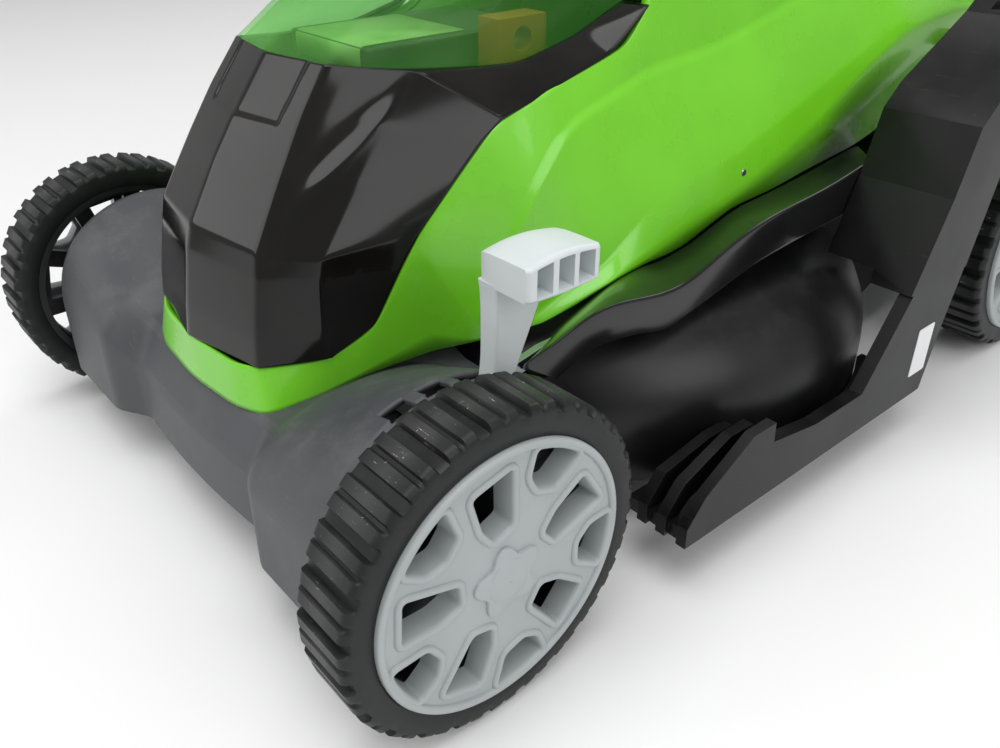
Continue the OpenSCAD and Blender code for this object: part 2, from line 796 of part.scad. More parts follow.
// Puts a wheel piece drawn round Z onto its axle; side is 1 on the +X side
module on_axle(side, is_front) {
    axle_y = is_front ? front_axle : rear_axle;
    axle_z = is_front ? front_r : rear_r;
    inner = is_front ? front_in : rear_in;
    placed() mirror([side > 0 ? 0 : 1, 0, 0]) translate([inner, axle_y, axle_z])
        rotate([0, 90, 0]) children();
}

function wheel_r(is_front) = is_front ? front_r : rear_r;
function wheel_w(is_front) = is_front ? front_w : rear_w;

module tyre(side, is_front) {
    radius = wheel_r(is_front);
    land = 2 * radius * tan(5.4);
    color("#4e504f") on_axle(side, is_front) difference() {
        linear_extrude(wheel_w(is_front)) union() {
            circle(r = radius - tread_h, $fn = smooth_fn);
            for (i = [0 : tread_n - 1]) rotate(360 / tread_n * i)
                translate([radius / 2, -land / 2]) square([radius / 2, land]);
        }
        translate([0, 0, -1]) cylinder(r = radius - tyre_h, h = 60, $fn = smooth_fn);
    }
}

// Five long windows and five rim windows between the spokes
module windows(radius) {
    k = radius / 62;
    for (i = [0 : 4]) rotate(72 * i) {
        rotate(188) polygon([[23 * k, 0], [28 * k, -7 * k], [53 * k, -11 * k], [53 * k, 11 * k],
            [28 * k, 7 * k]]);
        rotate(152) polygon([[42 * k, -7 * k], [57 * k, -14 * k], [57 * k, 14 * k], [42 * k, 7 * k]]);
    }
}

module wheel_hub(side, is_front) {
    radius = wheel_r(is_front) - tyre_h;
    width = wheel_w(is_front);
    color("#202122") on_axle(side, is_front) difference() {
        union() {
            translate([0, 0, 1]) difference() {
                cylinder(r = radius, h = width - 3, $fn = smooth_fn);
                translate([0, 0, -1]) cylinder(r = radius - 4, h = width, $fn = smooth_fn);
            }
            translate([0, 0, 8]) linear_extrude(4) difference() {
                circle(r = radius - 2, $fn = smooth_fn);
                windows(radius);
            }
            translate([0, 0, 0.5]) cylinder(r = 14, h = width - 8.5);
        }
        translate([0, 0, -1]) cylinder(r = axle_r + running, h = width);
    }
}

module hubcap(side, is_front) {
    radius = wheel_r(is_front) - tyre_h;
    width = wheel_w(is_front);
    color("#a9b2b0") on_axle(side, is_front) translate([0, 0, width - 2]) {
        linear_extrude(5) difference() {
            circle(r = radius, $fn = smooth_fn);
            windows(radius);
        }
        translate([0, 0, 4]) cylinder(r = 16, h = 1.5);
    }
}

module tyre_fl() { tyre(-1, true); }
module tyre_fr() { tyre(1, true); }
module tyre_rl() { tyre(-1, false); }
module tyre_rr() { tyre(1, false); }
module wheel_hub_fl() { wheel_hub(-1, true); }
module wheel_hub_fr() { wheel_hub(1, true); }
module wheel_hub_rl() { wheel_hub(-1, false); }
module wheel_hub_rr() { wheel_hub(1, false); }
module hubcap_fl() { hubcap(-1, true); }
module hubcap_fr() { hubcap(1, true); }
module hubcap_rl() { hubcap(-1, false); }
module hubcap_rr() { hubcap(1, false); }

// ---- rear flap and catcher ----

flap_l = 96;

module rear_flap() {
    color("#232527") placed() difference() {
        union() {
            bar(-flap_w, flap_w, 6, flap_y, flap_z);
            translate([-flap_w, flap_y, flap_z - 2]) cube([2 * flap_w, flap_l, 4]);
        }
        bar(-far, far, flap_rod_r + running, flap_y, flap_z);
    }
}

catcher_x = duct_x + 16;
catcher_y = r(62);
catcher_end = catcher_y + catcher_l;
lip_z = flap_z - 10;
split_z = 200;

module catcher_outline() {
    y = catcher_y;
    polygon([[y, 95], [y, 150], [y - 24, split_z], [y - 24, lip_z], [y + 52, lip_z],
        [y + 88, catcher_z - 10], [y + 248, catcher_z], [catcher_end - 22, catcher_z - 35],
        [catcher_end, split_z], [catcher_end - 18, 110], [catcher_end - 50, 90], [y + 20, 88]]);
}

module catcher_shell() {
    difference() {
        across(-catcher_x, catcher_x) catcher_outline();
        across(wall - catcher_x, catcher_x - wall) offset(delta = -wall) catcher_outline();
        translate([wall + 12 - catcher_x, catcher_y - 40, 108])
            cube([2 * (catcher_x - wall - 12), 60, lip_z - 118]);
    }
}

module catcher_bin() {
    color("#2a2c2e") placed() intersection() {
        catcher_shell();
        translate([-far, -far, split_z - far]) cube([2 * far, 3 * far, far]);
    }
}

gauge_y = catcher_y + 100;
gauge_tilt = atan2(10, 160);
gauge_z = catcher_z - 10 + 12 * tan(gauge_tilt);

module catcher_top() {
    color("#34373a") placed() {
        intersection() {
            catcher_shell();
            translate([-far, -far, split_z]) cube([2 * far, 3 * far, far]);
        }
        across(-12, 12) difference() {
            translate([catcher_y + 165, catcher_z - 8]) square([80, 40]);
            translate([catcher_y + 177, catcher_z - 10]) square([56, 30]);
        }
        both() translate([34.6, gauge_y, gauge_z + 5]) rotate([gauge_tilt, 0, 0])
            translate([0, -4, -8]) cube([5, 8, 12]);
    }
}

// Flap on the catcher's lid that drops when the catcher is full
module fill_gauge() {
    color("#72c62f") placed() translate([0, gauge_y, gauge_z + 5]) rotate([gauge_tilt, 0, 0]) {
        translate([-34, -3, -1]) cube([68, 44, 2]);
        bar(-34, 34, 2.5, 0, 0);
    }
}

// ---- handle ----

// Handle frame turned to the slope of the tubes
module on_handle() {
    placed() translate([0, pivot_y, pivot_z]) rotate([handle_angle, 0, 0]) children();
}

// A round tube along Y
module tube(x, y0, y1, radius) {
    translate([x, y0, 0]) rotate([-90, 0, 0]) cylinder(r = radius, h = y1 - y0);
}

module lower_tube() {
    difference() {
        union() {
            tube(outer_lane, 0, lower_l, tube_r);
            for (y = [0, lower_l]) bar(outer_lane - eye_w, outer_lane + eye_w, tube_r + 1, y, 0);
        }
        tube(outer_lane, 20, lower_l - 20, tube_r - tube_wall);
        translate([outer_lane, 34, -tube_r - 2]) cylinder(r = 2, h = tube_r);
        bar(0, far, bolt_r + running, 0, 0);
        bar(0, far, bolt_r, lower_l, 0);
    }
}

module lower_tube_r() {
    color("#2b2d2f") on_handle() lower_tube();
}

module lower_tube_l() {
    color("#2b2d2f") on_handle() left() lower_tube();
}

module clamp_bolts() {
    color("#6b6f73") on_handle() both() {
        bar(inner_lane - eye_w - 4.5, outer_lane + tube_r + 13, bolt_r, lower_l, 0);
        bar(inner_lane - eye_w - 4.5, inner_lane - eye_w - 0.5, bolt_r + 4, lower_l, 0);
    }
}

bend_r = 60;
bar_y = lower_l + upper_l;
bail_y = bar_y - 20 - bail_l;
bail_r = 4;
bail_x = inner_lane - tube_r - bail_r - 2;

// The bent tube of the upper handle, drawn with the given radius
module u_tube(radius, start) {
    both() {
        tube(inner_lane, start, bar_y - bend_r, radius);
        translate([inner_lane - bend_r, bar_y - bend_r, 0])
            rotate_extrude(angle = 90, $fn = 64) translate([bend_r, 0]) circle(r = radius);
        bar(0, inner_lane - bend_r, radius, bar_y, 0);
    }
}

module upper_handle() {
    color("#2b2d2f") on_handle() difference() {
        union() {
            u_tube(tube_r, lower_l);
            both() bar(inner_lane - eye_w, inner_lane + eye_w, tube_r + 1, lower_l, 0);
        }
        u_tube(tube_r - tube_wall, lower_l + 20);
        bar(-far, far, bolt_r + running, lower_l, 0);
        both() bar(inner_lane - tube_r - 1, inner_lane, bail_r + running, bail_y, 0);
    }
}

module handle_grip() {
    color("#1a1b1c") on_handle() difference() {
        bar(-80, 80, grip_d / 2, bar_y, 0);
        bar(-81, 81, tube_r, bar_y, 0);
    }
}

switch_y = bail_y - 120;
button_r = 7;

module switch_box() {
    color("#26282a") on_handle() difference() {
        translate([inner_lane - tube_r - 12, switch_y, -20]) cube([tube_d + 24, 95, 46]);
        tube(inner_lane, switch_y - 1, switch_y + 96, tube_r);
        translate([inner_lane, switch_y + 68, 12]) cylinder(r = button_r + side_gap, h = 20);
    }
}

module start_button() {
    color("#72c62f") on_handle() translate([inner_lane, switch_y + 68, 17])
        cylinder(r = button_r, h = 14);
}

bail_angle = 28;

module bail_lever() {
    color("#b9bec2") on_handle() translate([0, bail_y, 0]) rotate([bail_angle, 0, 0]) both() {
        bar(bail_x - bail_r, inner_lane - 5, bail_r, 0, 0);
        tube(bail_x, 0, bail_l - 30, bail_r);
        translate([bail_x - 30, bail_l - 30, 0])
            rotate_extrude(angle = 90) translate([30, 0]) circle(r = bail_r);
        bar(0, bail_x - 30, bail_r, bail_l, 0);
    }
}

// ---- knobs ----

module wing_knob(y) {
    x = outer_lane + tube_r + 1;
    difference() {
        union() {
            bar(x, x + 8, 13, y, 0);
            bar(x + 7, x + 17, 9, y, 0);
            translate([x + 8, y - 19, -4]) cube([9, 38, 8]);
        }
        bar(x - 1, x + 13, bolt_r + running, y, 0);
    }
}

module pivot_knob_r() { color("#1e1f21") on_handle() wing_knob(0); }
module pivot_knob_l() { color("#1e1f21") on_handle() left() wing_knob(0); }
module clamp_knob_r() { color("#1e1f21") on_handle() wing_knob(lower_l); }
module clamp_knob_l() { color("#1e1f21") on_handle() left() wing_knob(lower_l); }

deck();
front_apron();
side_frame_l();
side_frame_r();
side_rail_l();
side_rail_r();
top_cover();
nose_cover();
battery_tray();
battery_contacts();
control_board();
motor_housing();
screws();
axle_clips();
flap_rod();
pivot_bolts();
cable_gland();
front_axle_rod();
height_lever();
height_knob();
front_axle_nuts();
rear_axle_rod();
rear_axle_nuts();
link_rod();
tyre_fl();
wheel_hub_fl();
hubcap_fl();
tyre_fr();
wheel_hub_fr();
hubcap_fr();
tyre_rl();
wheel_hub_rl();
hubcap_rl();
tyre_rr();
wheel_hub_rr();
hubcap_rr();
motor_shaft();
fan_adapter();
cutting_blade();
blade_bolt();
battery_lid();
battery_pack();
battery_button();
safety_key();
rear_flap();
catcher_bin();
catcher_top();
fill_gauge();
lower_tube_l();
lower_tube_r();
clamp_bolts();
upper_handle();
handle_grip();
switch_box();
bail_lever();
start_button();
pivot_knob_l();
pivot_knob_r();
clamp_knob_l();
clamp_knob_r();
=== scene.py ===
"""Looks of a cordless push lawn mower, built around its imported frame."""
import json
import math

import bpy
import bmesh
import numpy as np
from mathutils import Matrix, Vector

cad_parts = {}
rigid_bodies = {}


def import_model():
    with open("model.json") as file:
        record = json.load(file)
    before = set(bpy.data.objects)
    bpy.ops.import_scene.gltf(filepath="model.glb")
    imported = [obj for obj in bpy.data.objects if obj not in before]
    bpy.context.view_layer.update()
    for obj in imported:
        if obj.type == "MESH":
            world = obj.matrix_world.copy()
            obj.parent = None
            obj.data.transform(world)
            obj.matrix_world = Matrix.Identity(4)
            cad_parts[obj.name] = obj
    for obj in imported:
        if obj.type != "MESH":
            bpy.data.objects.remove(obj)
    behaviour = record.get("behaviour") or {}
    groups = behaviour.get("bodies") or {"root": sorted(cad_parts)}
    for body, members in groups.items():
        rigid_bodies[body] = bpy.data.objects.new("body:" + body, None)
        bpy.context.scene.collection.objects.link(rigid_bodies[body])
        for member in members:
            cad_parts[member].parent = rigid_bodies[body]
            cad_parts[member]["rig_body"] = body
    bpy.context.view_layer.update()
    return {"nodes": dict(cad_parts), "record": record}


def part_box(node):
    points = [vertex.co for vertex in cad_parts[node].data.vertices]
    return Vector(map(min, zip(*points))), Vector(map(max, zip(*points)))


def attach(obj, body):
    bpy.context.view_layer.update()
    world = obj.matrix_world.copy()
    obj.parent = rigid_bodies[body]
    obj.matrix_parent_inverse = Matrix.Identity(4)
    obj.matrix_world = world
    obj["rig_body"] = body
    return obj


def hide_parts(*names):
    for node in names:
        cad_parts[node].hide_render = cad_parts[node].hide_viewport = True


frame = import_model()

# ---------------------------------------------------------------- places

MM = 0.001
NODES = frame["nodes"]


def box_mm(node):
    """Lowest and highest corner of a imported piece, in millimetres."""
    low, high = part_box(node)
    return np.array(low) / MM, np.array(high) / MM


def centre_mm(node):
    """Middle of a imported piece, in millimetres."""
    low, high = box_mm(node)
    return (low + high) / 2


# Design drawings count Y from a line 25 mm in front of the blade axis
BLADE_AHEAD = 25.0
SHIFT_Y = centre_mm("motor_shaft")[1] - BLADE_AHEAD


def place(points):
    """Drawing millimetres to frame metres: Y is moved by the datum shift, then all is scaled."""
    return (np.asarray(points, float) + (0.0, SHIFT_Y, 0.0)) * MM


# ---------------------------------------------------------------- mesh helpers

def smooth_by_angle(mesh, degrees=35.0):
    """Shade smooth, but keep edges sharper than the angle crisp."""
    mesh.shade_smooth()
    mesh.set_sharp_from_angle(angle=math.radians(degrees))


def new_piece(name, verts, faces, material, degrees=35.0):
    """A mesh object from an array of points and a list or array of faces."""
    mesh = bpy.data.meshes.new(name)
    mesh.from_pydata(np.asarray(verts, float).tolist(), [], [tuple(f) for f in faces])
    mesh.materials.append(material)
    smooth_by_angle(mesh, degrees)
    mesh.update()
    piece = bpy.data.objects.new(name, mesh)
    bpy.context.scene.collection.objects.link(piece)
    return piece


def grid_faces(nu, nv, wrap_u=False, wrap_v=False, keep=None):
    """Quads of a grid of nu by nv points, as an index array, closed round where wanted."""
    u = np.arange(nu if wrap_u else nu - 1)
    v = np.arange(nv if wrap_v else nv - 1)
    uu, vv = np.meshgrid(u, v, indexing="ij")
    if keep is not None:
        chosen = keep[uu, vv]
        uu, vv = uu[chosen], vv[chosen]
    u2, v2 = (uu + 1) % nu, (vv + 1) % nv
    quads = np.stack([uu * nv + vv, u2 * nv + vv, u2 * nv + v2, uu * nv + v2], axis=-1)
    return quads.reshape(-1, 4)


def tidy(piece, merge):
    """Merge doubles closer than merge metres, then turn every face outwards."""
    bm = bmesh.new()
    bm.from_mesh(piece.data)
    bmesh.ops.remove_doubles(bm, verts=bm.verts, dist=merge)
    bmesh.ops.dissolve_degenerate(bm, edges=bm.edges, dist=merge / 2)
    bmesh.ops.recalc_face_normals(bm, faces=bm.faces)
    bm.to_mesh(piece.data)
    bm.free()
    return piece


def close_ends(piece, merge=0.0):
    """Fill the open ends of a skin, after its doubles are merged, and turn every face outwards."""
    bm = bmesh.new()
    bm.from_mesh(piece.data)
    if merge > 0:
        bmesh.ops.remove_doubles(bm, verts=bm.verts, dist=merge)
    bmesh.ops.holes_fill(bm, edges=bm.edges)
    bmesh.ops.recalc_face_normals(bm, faces=bm.faces)
    bm.to_mesh(piece.data)
    bm.free()


def thicken(piece, mm):
    """Give an open skin a wall, inwards from its outer face."""
    solid = piece.modifiers.new("wall", "SOLIDIFY")
    solid.thickness = mm * MM
    solid.offset = -1.0
    return piece


def round_edges(piece, mm, segments=3, degrees=28.0):
    """Round the edges of a piece with a small bevel."""
    bevel = piece.modifiers.new("rounding", "BEVEL")
    bevel.width = mm * MM
    bevel.segments = segments
    bevel.limit_method = "ANGLE"
    bevel.angle_limit = math.radians(degrees)
    bevel.harden_normals = True
    return piece


def finish_piece(piece, body, slot, *nodes):
    """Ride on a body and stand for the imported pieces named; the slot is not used."""
    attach(piece, body)
    if nodes:
        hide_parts(*nodes)
    return piece


def resample(lines, count, soften=0.0):
    """Points of each line carried to count even stations, with corners softened over soften stations."""
    lines = np.asarray(lines, float)
    old = np.linspace(0.0, 1.0, lines.shape[0])
    new = np.linspace(0.0, 1.0, count)
    flat = lines.reshape(lines.shape[0], -1)
    dense = np.stack([np.interp(new, old, flat[:, k]) for k in range(flat.shape[1])], axis=1)
    if soften > 0:
        reach = int(3 * soften) + 1
        weights = np.exp(-0.5 * (np.arange(-reach, reach + 1) / soften) ** 2)
        weights /= weights.sum()
        first = 2 * dense[0] - dense[reach:0:-1]
        last = 2 * dense[-1] - dense[-2:-reach - 2:-1]
        padded = np.concatenate([first, dense, last])
        dense = np.stack([np.convolve(padded[:, k], weights, "valid")
                          for k in range(dense.shape[1])], axis=1)
    return dense.reshape((count,) + lines.shape[1:])


def round_section(points, radius, steps=4):
    """Corners of each cross section replaced by quadratic arcs that start radius before the corner."""
    points = np.asarray(points, float)
    out = [points[:, :1]]
    t = np.linspace(0.0, 1.0, steps + 1)[None, :, None]
    for k in range(1, points.shape[1] - 1):
        here = points[:, k:k + 1]
        ends = []
        for other in (points[:, k - 1:k], points[:, k + 1:k + 2]):
            gap = other - here
            length = np.maximum(np.linalg.norm(gap, axis=2, keepdims=True), 1e-6)
            ends.append(here + gap * np.minimum(radius / length, 0.45))
        out.append((1 - t) ** 2 * ends[0] + 2 * t * (1 - t) * here + t ** 2 * ends[1])
    out.append(points[:, -1:])
    return np.concatenate(out, axis=1)


def mirror_half(half):
    """A half section from an edge to the middle line, continued on the other side of X."""
    other = half[:, ::-1] * (-1.0, 1.0, 1.0)
    return np.concatenate([half, other[:, 1:]], axis=1)


def smoothstep(low, high, value):
    """Zero below low, one above high and an even S between them."""
    t = np.clip((value - low) / (high - low), 0.0, 1.0)
    return t * t * (3 - 2 * t)


# ---------------------------------------------------------------- shader groups

def group(name, inputs, outputs):
    """A new shader group with named float inputs (name, default) and outputs (name, kind)."""
    tree = bpy.data.node_groups.new(name, "ShaderNodeTree")
    for label, default in inputs:
        socket = tree.interface.new_socket(label, in_out="INPUT", socket_type="NodeSocketFloat")
        socket.default_value = default
    for label, kind in outputs:
        tree.interface.new_socket(label, in_out="OUTPUT", socket_type=kind)
    return tree, tree.nodes.new("NodeGroupInput"), tree.nodes.new("NodeGroupOutput")


def math_node(tree, operation, a, b=None, clamp=False):
    """A Math node whose inputs are sockets or numbers."""
    node = tree.nodes.new("ShaderNodeMath")
    node.operation = operation
    node.use_clamp = clamp
    for socket, value in zip(node.inputs, (a, b)):
        if value is None:
            continue
        if isinstance(value, (int, float)):
            socket.default_value = value
        else:
            tree.links.new(value, socket)
    return node.outputs[0]


def noise(tree, vector, scale, detail=3.0, roughness=0.55, stretch=None):
    """Noise over Object coordinates; stretch scales the axes apart."""
    node = tree.nodes.new("ShaderNodeTexNoise")
    node.inputs["Detail"].default_value = detail
    node.inputs["Roughness"].default_value = roughness
    if isinstance(scale, (int, float)):
        node.inputs["Scale"].default_value = scale
    else:
        tree.links.new(scale, node.inputs["Scale"])
    if stretch is not None:
        mapping = tree.nodes.new("ShaderNodeMapping")
        mapping.inputs["Scale"].default_value = stretch
        tree.links.new(vector, mapping.inputs["Vector"])
        vector = mapping.outputs[0]
    tree.links.new(vector, node.inputs["Vector"])
    return node.outputs["Fac"]


def ramp(tree, value, low, high, out_low=0.0, out_high=1.0):
    """A smooth map from one range to another."""
    node = tree.nodes.new("ShaderNodeMapRange")
    node.interpolation_type = "SMOOTHSTEP"
    tree.links.new(value, node.inputs["Value"])
    for label, number in (("From Min", low), ("From Max", high), ("To Min", out_low),
                          ("To Max", out_high)):
        node.inputs[label].default_value = number
    return node.outputs["Result"]


def build_grain_group():
    """Moulded grain: fine noise for height, and a slow cloud that varies colour and gloss."""
    tree, given, out = group("moulded_grain", [("Grain", 1400.0), ("Cloud", 22.0)],
                             [("Height", "NodeSocketFloat"), ("Cloud", "NodeSocketFloat")])
    where = tree.nodes.new("ShaderNodeTexCoord").outputs["Object"]
    tree.links.new(noise(tree, where, given.outputs["Grain"], 2.0), out.inputs["Height"])
    tree.links.new(noise(tree, where, given.outputs["Cloud"], 4.0), out.inputs["Cloud"])
    return tree


def build_scuff_group():
    """Thin crossing scratches: two stretched noises, cut to their highest crests."""
    tree, given, out = group("scuffs", [("Scale", 60.0), ("Amount", 0.3)],
                             [("Mask", "NodeSocketFloat")])
    where = tree.nodes.new("ShaderNodeTexCoord").outputs["Object"]
    first = noise(tree, where, given.outputs["Scale"], 5.0, 0.6, (1.0, 9.0, 2.0))
    second = noise(tree, where, given.outputs["Scale"], 5.0, 0.6, (7.0, 1.0, 6.0))
    crests = math_node(tree, "MAXIMUM", ramp(tree, first, 0.66, 0.72), ramp(tree, second, 0.67, 0.73))
    tree.links.new(math_node(tree, "MULTIPLY", crests, given.outputs["Amount"], True),
                   out.inputs["Mask"])
    return tree


def build_dust_group():
    """Dust that settles where the surface faces up, broken up by noise."""
    tree, given, out = group("dust", [("Amount", 0.2), ("Scale", 45.0)],
                             [("Mask", "NodeSocketFloat")])
    where = tree.nodes.new("ShaderNodeTexCoord").outputs["Object"]
    facing = tree.nodes.new("ShaderNodeSeparateXYZ")
    tree.links.new(tree.nodes.new("ShaderNodeNewGeometry").outputs["Normal"], facing.inputs[0])
    up = ramp(tree, facing.outputs["Z"], 0.1, 1.0)
    broken = ramp(tree, noise(tree, where, given.outputs["Scale"], 6.0, 0.7), 0.45, 0.7)
    mask = math_node(tree, "MULTIPLY", math_node(tree, "MULTIPLY", up, broken), given.outputs["Amount"])
    tree.links.new(mask, out.inputs["Mask"])
    return tree


GRAIN = build_grain_group()
SCUFFS = build_scuff_group()
DUST = build_dust_group()


def use_group(tree, source, **values):
    """Place a group in a material with its own values."""
    node = tree.nodes.new("ShaderNodeGroup")
    node.node_tree = source
    for label, value in values.items():
        node.inputs[label].default_value = value
    return node


def mix_colour(tree, mask, first, second):
    """Colour mixed by a mask; each side is a socket or an RGB triple."""
    node = tree.nodes.new("ShaderNodeMix")
    node.data_type = "RGBA"
    tree.links.new(mask, node.inputs["Factor"])
    for socket, value in ((node.inputs["A"], first), (node.inputs["B"], second)):
        if isinstance(value, tuple):
            socket.default_value = (*value, 1.0)
        else:
            tree.links.new(value, socket)
    return node.outputs["Result"]


def linear(r, g, b):
    """Screen colour from 0 to 255 to linear light."""
    c = np.array([r, g, b], float) / 255.0
    lin = np.where(c <= 0.04045, c / 12.92, ((c + 0.055) / 1.055) ** 2.4)
    return tuple(float(v) for v in lin)


def material(name, colour, rough, gloss_range=0.06, tint=0.08, grain=1400.0, bump=0.08,
             scuff=0.0, scuff_colour=(0.6, 0.6, 0.58), dust=0.0, metallic=0.0, coat=0.0,
             specular=0.5, cloud=22.0):
    """Moulded or coated finish: cloudy colour, uneven gloss, fine grain, scuffs and dust."""
    mat = bpy.data.materials.new(name)
    mat.use_nodes = True
    tree = mat.node_tree
    shader = tree.nodes["Principled BSDF"]
    shader.inputs["Metallic"].default_value = metallic
    shader.inputs["Coat Weight"].default_value = coat
    shader.inputs["Coat Roughness"].default_value = 0.06
    shader.inputs["Specular IOR Level"].default_value = specular
    surface = use_group(tree, GRAIN, Grain=grain, Cloud=cloud)
    darker = tuple(c * (1 - tint) for c in colour)
    lighter = tuple(min(1.0, c * (1 + tint) + 0.002) for c in colour)
    shade = mix_colour(tree, ramp(tree, surface.outputs["Cloud"], 0.3, 0.7), darker, lighter)
    roughness = ramp(tree, surface.outputs["Cloud"], 0.3, 0.7, rough - gloss_range / 2,
                     rough + gloss_range / 2)
    if scuff > 0:
        marks = use_group(tree, SCUFFS, Scale=60.0, Amount=scuff)
        shade = mix_colour(tree, marks.outputs["Mask"], shade, scuff_colour)
        roughness = math_node(tree, "ADD", roughness,
                              math_node(tree, "MULTIPLY", marks.outputs["Mask"], 0.3), True)
    if dust > 0:
        film = use_group(tree, DUST, Amount=dust)
        shade = mix_colour(tree, film.outputs["Mask"], shade, (0.42, 0.40, 0.36))
        roughness = math_node(tree, "ADD", roughness,
                              math_node(tree, "MULTIPLY", film.outputs["Mask"], 0.6), True)
    tree.links.new(shade, shader.inputs["Base Color"])
    tree.links.new(roughness, shader.inputs["Roughness"])
    relief = tree.nodes.new("ShaderNodeBump")
    relief.inputs["Strength"].default_value = bump
    relief.inputs["Distance"].default_value = 0.0002
    tree.links.new(surface.outputs["Height"], relief.inputs["Height"])
    tree.links.new(relief.outputs["Normal"], shader.inputs["Normal"])
    return mat


GREEN = material("bright_green_gloss", linear(112, 200, 32), 0.28, 0.05, 0.04, 500, 0.02, coat=0.25,
                 dust=0.02)
DECK = material("deck_grained_plastic", linear(66, 67, 71), 0.50, 0.08, 0.07, 1800, 0.25, scuff=0.05,
                dust=0.08)
NOSE = material("nose_gloss_black", linear(16, 14, 13), 0.10, 0.03, 0.2, 300, 0.01, coat=0.05,
                specular=0.3, dust=0.005, scuff=0.005)
FRAME = material("frame_black", linear(15, 15, 16), 0.34, 0.08, 0.12, 1600, 0.08, scuff=0.02,
                 specular=0.22, dust=0.012)
RAIL = material("rail_gloss_black", linear(19, 20, 19), 0.14, 0.04, 0.15, 300, 0.01, coat=0.1,
                specular=0.4, dust=0.008)
HOUSING = material("housing_satin_black", linear(17, 17, 18), 0.36, 0.06, 0.12, 1500, 0.10,
                   specular=0.35, dust=0.02)
INNER = material("inner_matte_black", linear(34, 34, 36), 0.55, 0.1, 0.12, 1500, 0.25, dust=0.05)
KNOB = material("knob_pale_grey", linear(202, 208, 209), 0.42, 0.06, 0.03, 1500, 0.10)
HUBCAP = material("hubcap_light_grey", linear(162, 168, 169), 0.42, 0.06, 0.04, 1600, 0.15,
                  dust=0.05)
RIM = material("rim_black", linear(24, 24, 25), 0.40, 0.1, 0.1, 1400, 0.15, dust=0.05)
STEEL = material("zinc_steel", linear(170, 174, 178), 0.32, 0.12, 0.08, 900, 0.15, scuff=0.15,
                 metallic=1.0)
BLADE = material("blade_black_steel", linear(58, 60, 62), 0.38, 0.14, 0.15, 900, 0.25, scuff=0.35,
                 metallic=0.7)
ALLOY = material("motor_alloy", linear(150, 152, 154), 0.48, 0.12, 0.06, 1100, 0.35, metallic=0.9)
PACK = material("battery_case_grey", linear(62, 64, 66), 0.45, 0.08, 0.08, 1500, 0.25)
LABEL = material("battery_label", linear(176, 182, 148), 0.35, 0.05, 0.10, 400, 0.03, cloud=60.0)
STICKER = material("plain_sticker", linear(226, 228, 230), 0.38, 0.05, 0.02, 500, 0.03)
BOARD = material("circuit_board", linear(36, 92, 52), 0.40, 0.1, 0.2, 300, 0.1, cloud=240.0)
BRASS = material("brass_contacts", linear(200, 160, 80), 0.25, 0.1, 0.08, 900, 0.1, metallic=1.0)
KEY = material("key_orange_brown", linear(176, 86, 40), 0.36, 0.06, 0.08, 1400, 0.12)
CATCHER = material("catcher_textured_black", linear(44, 46, 48), 0.55, 0.08, 0.08, 900, 0.45,
                   dust=0.08)
COAT = material("powder_coated_tube", linear(30, 31, 33), 0.36, 0.06, 0.10, 1100, 0.30)
FOAM = material("foam_grip", linear(24, 24, 25), 0.85, 0.1, 0.15, 700, 0.9)
PLATED = material("bright_plated_wire", linear(205, 208, 210), 0.16, 0.08, 0.04, 800, 0.05,
                  metallic=1.0)


def tyre_material():
    """Hard black tread: dull grain, pale scratches where the attribute wear is high."""
    mat = material("tyre_tread", linear(22, 23, 24), 0.46, 0.12, 0.12, 1300, 0.30, specular=0.3, dust=0.03)
    tree = mat.node_tree
    shader = tree.nodes["Principled BSDF"]
    worn = tree.nodes.new("ShaderNodeAttribute")
    worn.attribute_name = "wear"
    marks = use_group(tree, SCUFFS, Scale=150.0, Amount=1.0)
    mask = math_node(tree, "MULTIPLY", worn.outputs["Fac"], marks.outputs["Mask"])
    old = shader.inputs["Base Color"].links[0].from_socket
    smear = math_node(tree, "MULTIPLY", worn.outputs["Fac"], 0.10)
    lifted = mix_colour(tree, smear, old, (0.30, 0.30, 0.30))
    tree.links.new(mix_colour(tree, mask, lifted, (0.62, 0.62, 0.60)), shader.inputs["Base Color"])
    return mat


def clear_green_material():
    """Thin tinted plastic: light passes through with a green tint, and glancing views reflect."""
    mat = bpy.data.materials.new("clear_green_lid")
    mat.use_nodes = True
    tree = mat.node_tree
    shader = tree.nodes["Principled BSDF"]
    surface = use_group(tree, GRAIN, Grain=300.0, Cloud=14.0)
    cloud = ramp(tree, surface.outputs["Cloud"], 0.35, 0.65)
    body = mix_colour(tree, cloud, linear(96, 178, 84), linear(128, 206, 104))
    tree.links.new(body, shader.inputs["Base Color"])
    tree.links.new(ramp(tree, surface.outputs["Cloud"], 0.3, 0.7, 0.04, 0.08),
                   shader.inputs["Roughness"])
    clear = tree.nodes.new("ShaderNodeBsdfTransparent")
    tint = mix_colour(tree, cloud, (0.76, 0.96, 0.72), (0.82, 0.98, 0.78))
    tree.links.new(tint, clear.inputs["Color"])
    glance = tree.nodes.new("ShaderNodeLayerWeight")
    glance.inputs["Blend"].default_value = 0.25
    solid = ramp(tree, glance.outputs["Facing"], 0.0, 1.0, 0.07, 0.6)
    both = tree.nodes.new("ShaderNodeMixShader")
    tree.links.new(solid, both.inputs[0])
    tree.links.new(clear.outputs[0], both.inputs[1])
    tree.links.new(shader.outputs[0], both.inputs[2])
    tree.links.new(both.outputs[0], tree.nodes["Material Output"].inputs["Surface"])
    return mat


TREAD = tyre_material()
CLEAR = clear_green_material()

def body_name(node):
    """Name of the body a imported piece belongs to."""
    return NODES[node]["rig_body"]


# ---------------------------------------------------------------- wheels

WINDOW_DEPTH = 10.0


